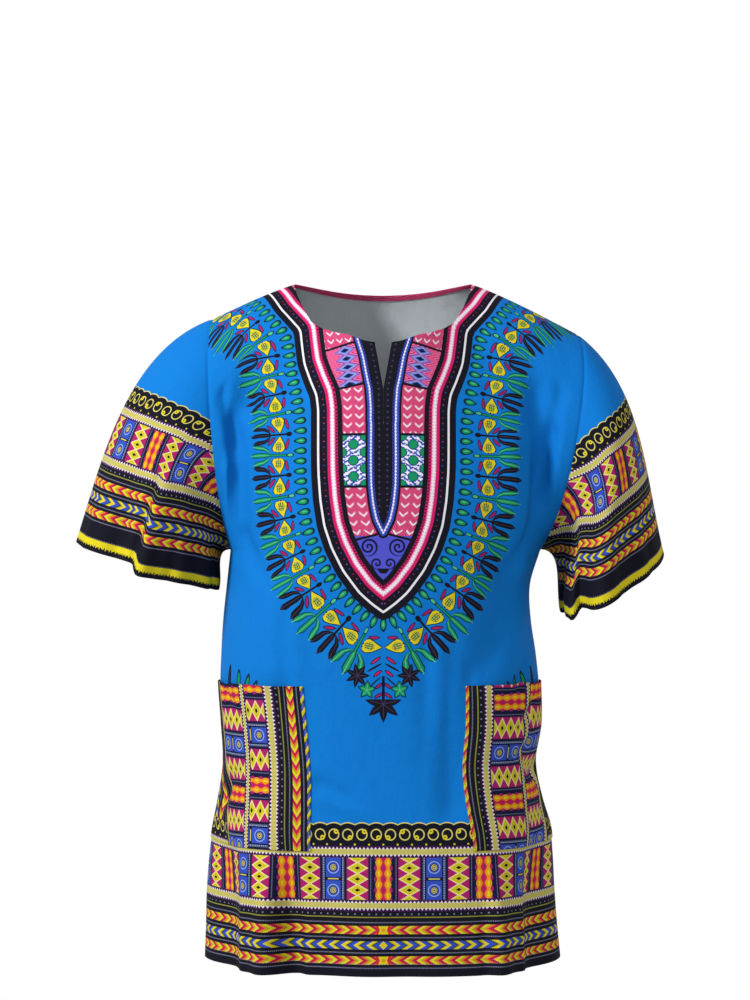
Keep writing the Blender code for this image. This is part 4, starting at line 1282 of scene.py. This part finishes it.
def neck_cloth(place):
    """The bands round the neck and the patches inside them. place gives cloth coordinates of pixels."""
    net = Net("neck_print")
    u, v = net.read("across"), net.read("up")
    size = abs(u)
    d, way = net.read("outline_out"), net.read("outline_way")
    e, inner_way = net.read("inner_out"), net.read("inner_way")
    ikat_top, ikat_bottom, cells_top, cells_bottom, field_end = (place(345, y)[1] for y in PATCH_ENDS)
    cells, cells_half = (cells_top + cells_bottom) / 2, (cells_top - cells_bottom) / 2
    chevrons = chevron_patch(net, e, v)
    leaning = v + (size - PATCH_LEAN_FROM) * PATCH_LEAN
    ink = Ink(net, VIOLET)
    for pixel, radius, turns, turn in (((368.5, 547), 9.6, 1.9, 1), ((377, 563.5), 6.2, 1.4, -1)):
        x, y = place(*pixel)
        draw_spiral(net, ink, size - x, v - y, radius, turns, turn)
    point = place(383, 571)[1]
    ink.put(v.near(point, 2.6) * (v - point + 7.0 - size * 1.4).more(0), BLACK)
    ink.put(v.more(field_end), chevrons)
    ink.put(v.near(cells, cells_half), cell_patch(net, e, v - cells))
    ink.put(v.more(cells_top), chevrons)
    ink.put(leaning.near((ikat_top + ikat_bottom) / 2, (ikat_top - ikat_bottom) / 2),
            diamond_patch(net, e, leaning - ikat_top))
    for line, where in ((ikat_top, leaning), (ikat_bottom, leaning), (cells_top, v), (cells_bottom, v),
                        (field_end - 0.6, v + (size - 15.0) * 0.25)):
        ink.put(where.near(line, 1.3), BLACK)
    ink.put(e.less(INNER_LIMIT), BLACK)
    ink.put(e.less(-3.3) * size.near(4.2, 0.9) * v.marks(6.2, 0.9), DIM)
    bead_stripe(ink, e, inner_way, INNER_HALF, ROYAL)
    ink.put(d.more(FIELD_LIMIT), BLACK)
    bead_stripe(ink, d - BEADS_AT, way, BEADS_HALF, PINK)
    spots = net.ramp((way / (3 * SPOT_PITCH)).share(), ((0.0, ROYAL), (0.33, CRIMSON), (0.66, PURPLE)), True)
    ink.put(d.near(SPOTS_AT, 0.8) * way.marks(SPOT_PITCH, 0.8), spots)
    ink.put(d.near(0, OUTLINE_HALF), WHITE)
    outer = Ink(net, BLUE)
    draw_leaves(net, outer)
    ink.put(d.more(NECK_OUTSIDE), outer.colour)
    return finish_cloth(net, ink, u, v)


def draw_hand(ink, net, a, r, low, high, spread, half, colour, core):
    """Three fingers that part from a stem and point outwards."""
    middle = net.profile(r, (low, 0.0), (low + 2, spread * 0.5), (low + 7, spread * 0.84),
                         (high, spread * 1.12))
    width = net.profile(r, (low - 2, half * 0.6), (low + 3, half * 0.8), (high - 9, half),
                        (high - 5, half * 0.9), (high, 0.1))
    long = high + 4
    long_width = net.profile(r, (low, half * 0.6), (low + 6, half), (high - 2, half), (long, 0.1))
    finger, inside = abs(a - middle), r.near((low + high) / 2, (high - low) / 2)
    inside_long = r.near((low + long) / 2, (long - low) / 2)

    def fingers(wide, long_wide, ink_colour):
        ink.put((finger.less(wide) * inside).most(a.less(long_wide) * inside_long), ink_colour)

    fingers(width, long_width, colour)
    if core:
        fingers(width - 0.8, long_width - 0.8, core)
        fingers(0.45, 0.4, LIGHT_GREEN)
    else:
        fingers(0.22, 0.22, DIM)


def draw_leaf_star(net, ink, x, y, middle, radii, lobes, turn, colour, vein):
    """A lobed leaf, with its veins."""
    x, y = x - middle[0], y - middle[1]
    notch, tip = radii
    angle = net.math("ARCTAN2", y, x) - math.radians(turn)
    aside = abs(angle.wrap(2 * math.pi / lobes)) * (lobes / math.pi)
    size = net.blob(x, y)
    ink.put(size.less(tip + (notch - tip) * net.math("POWER", aside, 0.75)), colour)
    ink.put(size.less(tip * 0.7) * (size * aside).less(0.7), vein)


def draw_oval(net, ink, x, y, middle, turn, sizes, colours):
    """An oval in another one that shows as its rim, each with a pair of radii."""
    for radii, colour in zip(sizes, colours):
        ink.put(net.blob(x, y, middle, radii, turn).less(1.0), colour)


def draw_leaves(net, ink):
    """The row of leaves next to the neck bands."""
    r = net.read("leaves_out") / PX
    s = net.read("leaves_way").wrap(LEAF_PERIOD) / PX
    egg = net.blob(s / (1.0 - r * 0.05), r, (0, 0), (3.5, 7.4))
    ink.put(egg.less(1.0) * r.near(0, 8.0), DARK_GREEN)
    ink.put(egg.less(0.66) * r.near(0, 8.0), GREEN)
    draw_oval(net, ink, s, r, (0.3, -0.5), 0.0, ((0.8, 2.8),), (LIGHT_GREEN,))


def garland_cloth(place):
    """The garland outside the neck bands: a row of leaves, then flowers, slivers and hands of leaves."""
    net = Net("garland_print")
    u, v = net.read("across"), net.read("up")
    ink = Ink(net, BLUE)
    draw_leaves(net, ink)
    draw_units(net, ink)
    draw_bottom(net, ink, abs(u), v, place)
    draw_tips(net, ink, abs(u), v, place)
    ink.put(net.read("outline_out").less(NECK_OUTSIDE), BLACK)
    return finish_cloth(net, ink, u, v)


def draw_units(net, ink):
    """The garland's repeat. a runs from the black hand's stem, and b from the green one's."""
    r, whole = net.read("leaves_out") / PX, net.read("units_way")
    a = abs(whole.wrap(UNIT_PERIOD)) / PX
    b, stems = GREEN_STEM - a, whole.more(UNIT_PERIOD / 2)
    draw_oval(net, ink, a, r, (10.5, 14.5), 12, ((6.2, 2.0), (5.0, 1.2)), (NAVY, MAGENTA))
    sliver = Ink(net, ink.colour)
    draw_oval(net, sliver, a, r, (7.0, 32.5), 42, ((6.0, 2.1), (4.8, 1.2)), (NAVY, MAGENTA))
    ink.put(stems, sliver.colour)
    draw_hand(ink, net, b, r, 34.0, HAND_END, HAND_SPREAD, 2.7, DARK_GREEN, GREEN)
    ink.put(b.less(1.5) * r.near(24.0, 12.0), DARK_GREEN)
    ink.put(b.less(0.8) * r.near(24.0, 12.0), GREEN)
    bud = net.blob(b, r, (0, 11.0), (2.2, 4.4))
    ink.put(bud.less(1.0), DARK_GREEN)
    ink.put(bud.less(0.66), LIGHT_GREEN)
    width = net.profile(a, *FLOWER_WIDTHS)
    off = abs(r - FLOWER_OUT - a * FLOWER_LEAN)
    flower, ruffle = a.near(10.5, 9.0), r.wave(3.4) * 0.5
    ink.put(flower * off.less(width + 0.7), DARK_GREEN)
    ink.put(flower * off.less(width - 0.5) * (a + ruffle).less(18.4), YELLOW)
    heart = net.blob(a, r, (12.6, 24.0), (4.8, 4.2))
    ink.put(heart.less(1.0) * (off / (width + 0.5)).marks(0.30, 0.10), OLIVE)
    ink.put(heart.less(0.9) * a.marks(2.6, 0.5) * r.marks(2.2, 0.6), DARK_GREEN)
    ink.put(net.blob(a, r, (12.2, 24.2), (2.8, 1.8), 40).near(0.8, 0.16), GREEN)
    black = Ink(net, ink.colour)
    draw_hand(black, net, a, r, 33.0, HAND_END, HAND_SPREAD, 2.6, BLACK, None)
    black.put(a.less(1.0) * r.near(23.0, 12.5), BLACK)
    black.put(net.blob(a, r, (0, 12.5), (2.4, 3.4)).less(1.0), BLACK)
    ink.put(stems * a.less(13.0), black.colour)


def draw_tips(net, ink, size, v, place):
    """Tips of leaves that stand behind the pockets."""
    for pixel, turn, (long, wide), colours in (
            ((222, 674), 84, (15, 4.4), (BLACK, DIM)),
            ((230, 677), 100, (14, 3.6), (BLACK, DIM)),
            ((239, 681), 92, (13, 3.8), (DARK_GREEN, GREEN)),
            ((247, 684), 108, (12, 3.6), (DARK_GREEN, GREEN)),
            ((254, 688), 122, (10, 3.0), (DARK_GREEN, GREEN))):
        x, y = place(*pixel)
        ink.put(net.blob(size, v, (x, y), (long, wide), turn).less(1.0), colours[0])
        core = (long - 3.0, wide - 1.5 if colours[1] is GREEN else 0.6)
        ink.put(net.blob(size, v, (x, y - 1.0), core, turn).less(1.0), colours[1])


def draw_bottom(net, ink, size, v, place):
    """The garland's point: slivers and lobed leaves on a stem."""
    for pixel, turn, radius, colour in (
            ((375.5, 660.5), -36, 6.4, PINK), ((377.5, 673.5), -38, 5.6, PINK),
            ((378.6, 686.0), -38, 5.0, MAGENTA), ((378.6, 695.5), -32, 5.4, MAGENTA)):
        sizes = ((radius, 2.0), (radius - 1.4, 1.0))
        draw_oval(net, ink, size, v, place(*pixel), turn, sizes, (NAVY, colour))
    draw_oval(net, ink, size, v, place(374.5, 667.5), -29, ((9.0, 1.1),), (BLACK,))
    draw_leaf_star(net, ink, size, v, place(357.5, 675.5), (6.4, 13.5), 7, -25, BLACK, DIM)
    draw_oval(net, ink, size, v, place(374.5, 682.5), -42, ((9.0, 0.9),), (DARK_GREEN,))
    for radii, colour in (((5.4, 10.5), DARK_GREEN), ((4.2, 8.6), GREEN)):
        draw_leaf_star(net, ink, size, v, place(367, 690), radii, 5, -50, colour, LIGHT_GREEN)
    top, bottom, leaf = (place(383, y)[1] for y in (676, 701, 704))
    ink.put(size.less(1.5) * v.near((top + bottom) / 2, (top - bottom) / 2), BLACK)
    shape = Ink(net, ink.colour)
    draw_leaf_star(net, shape, size, v, (0.0, leaf), (9.4, 20.0), 7, -90, BLACK, DIM)
    ink.put(v.less(leaf + 5.0), shape.colour)


def print_of(values, with_tips):
    """The slot of each face of a body panel, by what print lies there."""
    across = np.abs(values["across"])
    low_up = values["up"].min(axis=1)
    low_leaves = values["leaves_out"].min(axis=1)
    garland = low_leaves * 1000 < PRINT_REACH
    garland |= (across.max(axis=1) < POINT_HALF) & (low_leaves < POINT_REACH)
    if with_tips:
        height = (low_up > TIPS_UP[0]) & (values["up"].max(axis=1) < TIPS_UP[1])
        garland |= (across.min(axis=1) > TIPS_FROM) & height
    slots = np.where(garland, BODY_SLOTS.index("garland"), BODY_SLOTS.index("blue"))
    slots[values["outline_out"].min(axis=1) * 1000 < NECK_FACES] = BODY_SLOTS.index("neck")
    slots[low_up * 1000 < BORDER_TOP] = BODY_SLOTS.index("border")
    return slots


def print_of_sleeve(values):
    return (values["up"].min(axis=1) * 1000 < BORDER_TOP + SLEEVE_SHIFT).astype(int)


def main():
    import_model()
    grids, sewn = shirt_grids()
    add_print_numbers(grids)

    def place(x, y):
        return tuple(float(value) for value in cloth_at([(x, y)], grids["front"][0])[0])

    inside = plain_cloth("inside_cotton", INSIDE)
    cloths = {"blue": plain_cloth("blue_cotton", BLUE), "border": border_cloth(), "neck": neck_cloth(place),
              "garland": garland_cloth(place), "sleeve": sleeve_cloth()}
    body_materials = [cloths[name] for name in BODY_SLOTS] + [inside]
    made = {}
    for name, facing, halves in (("front", FRONT, (-1, 1)), ("back", BACK, (0,))):
        parts = list(grids[name])
        for grid, half in zip(grids[name], halves):
            parts += body_strips(grid, sewn, facing, half)
        made[name] = shell(name, parts, body_materials,
                           lambda values: print_of(values, facing == FRONT), len(BODY_SLOTS))
    for side in SIDES:
        group = grids[f"sleeve_{side}"]
        parts = group + [grid.end_edge(True).strip(turned(HEM_WIDTH), True, grid.flip) for grid in group]
        made[f"sleeve_{side}"] = shell(f"sleeve_{side}", parts, [cloths["blue"], cloths["sleeve"], inside],
                                       print_of_sleeve, 2)
    for side in SIDES:
        grid = pocket_grid(side)
        made[f"pocket_{side}"] = shell(f"pocket_{side}", [grid] + pocket_strips(grid),
                                       [pocket_cloth(side), inside], lambda values: 0, 1)
    for name, piece in made.items():
        piece.name = f"{name}_cloth"
        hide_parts(name)
        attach(piece, "root")
    add_stage()


def add_stage():
    """The camera, a sky that lights the cloth less than it shows, and two lamps."""
    scene = bpy.context.scene
    scene.view_settings.view_transform = "Standard"
    camera = bpy.data.objects.new("camera", bpy.data.cameras.new("camera"))
    camera.location = (VIEW_X, VIEW_Y, VIEW_Z)
    camera.rotation_euler = (math.pi / 2, 0.0, 0.0)
    camera.data.lens = LENS
    camera.data.sensor_width = SENSOR
    scene.collection.objects.link(camera)
    scene.camera = camera
    world = bpy.data.worlds.new("studio")
    world.use_nodes = True
    back = world.node_tree.nodes["Background"]
    back.inputs["Color"].default_value = (1, 1, 1, 1)
    seen = world.node_tree.nodes.new("ShaderNodeLightPath").outputs["Is Camera Ray"]
    strength = world.node_tree.nodes.new("ShaderNodeMapRange")
    strength.inputs["To Min"].default_value = SKY
    strength.inputs["To Max"].default_value = 1.0
    world.node_tree.links.new(seen, strength.inputs["Value"])
    world.node_tree.links.new(strength.outputs["Result"], back.inputs["Strength"])
    scene.world = world
    for name, place, size, power in LAMPS:
        lamp = bpy.data.objects.new(name, bpy.data.lights.new(name, "AREA"))
        lamp.data.size = size
        lamp.data.energy = power
        lamp.location = place
        lamp.rotation_euler = (Vector(LAMP_AIM) - Vector(place)).to_track_quat("-Z", "Y").to_euler()
        scene.collection.objects.link(lamp)


main()
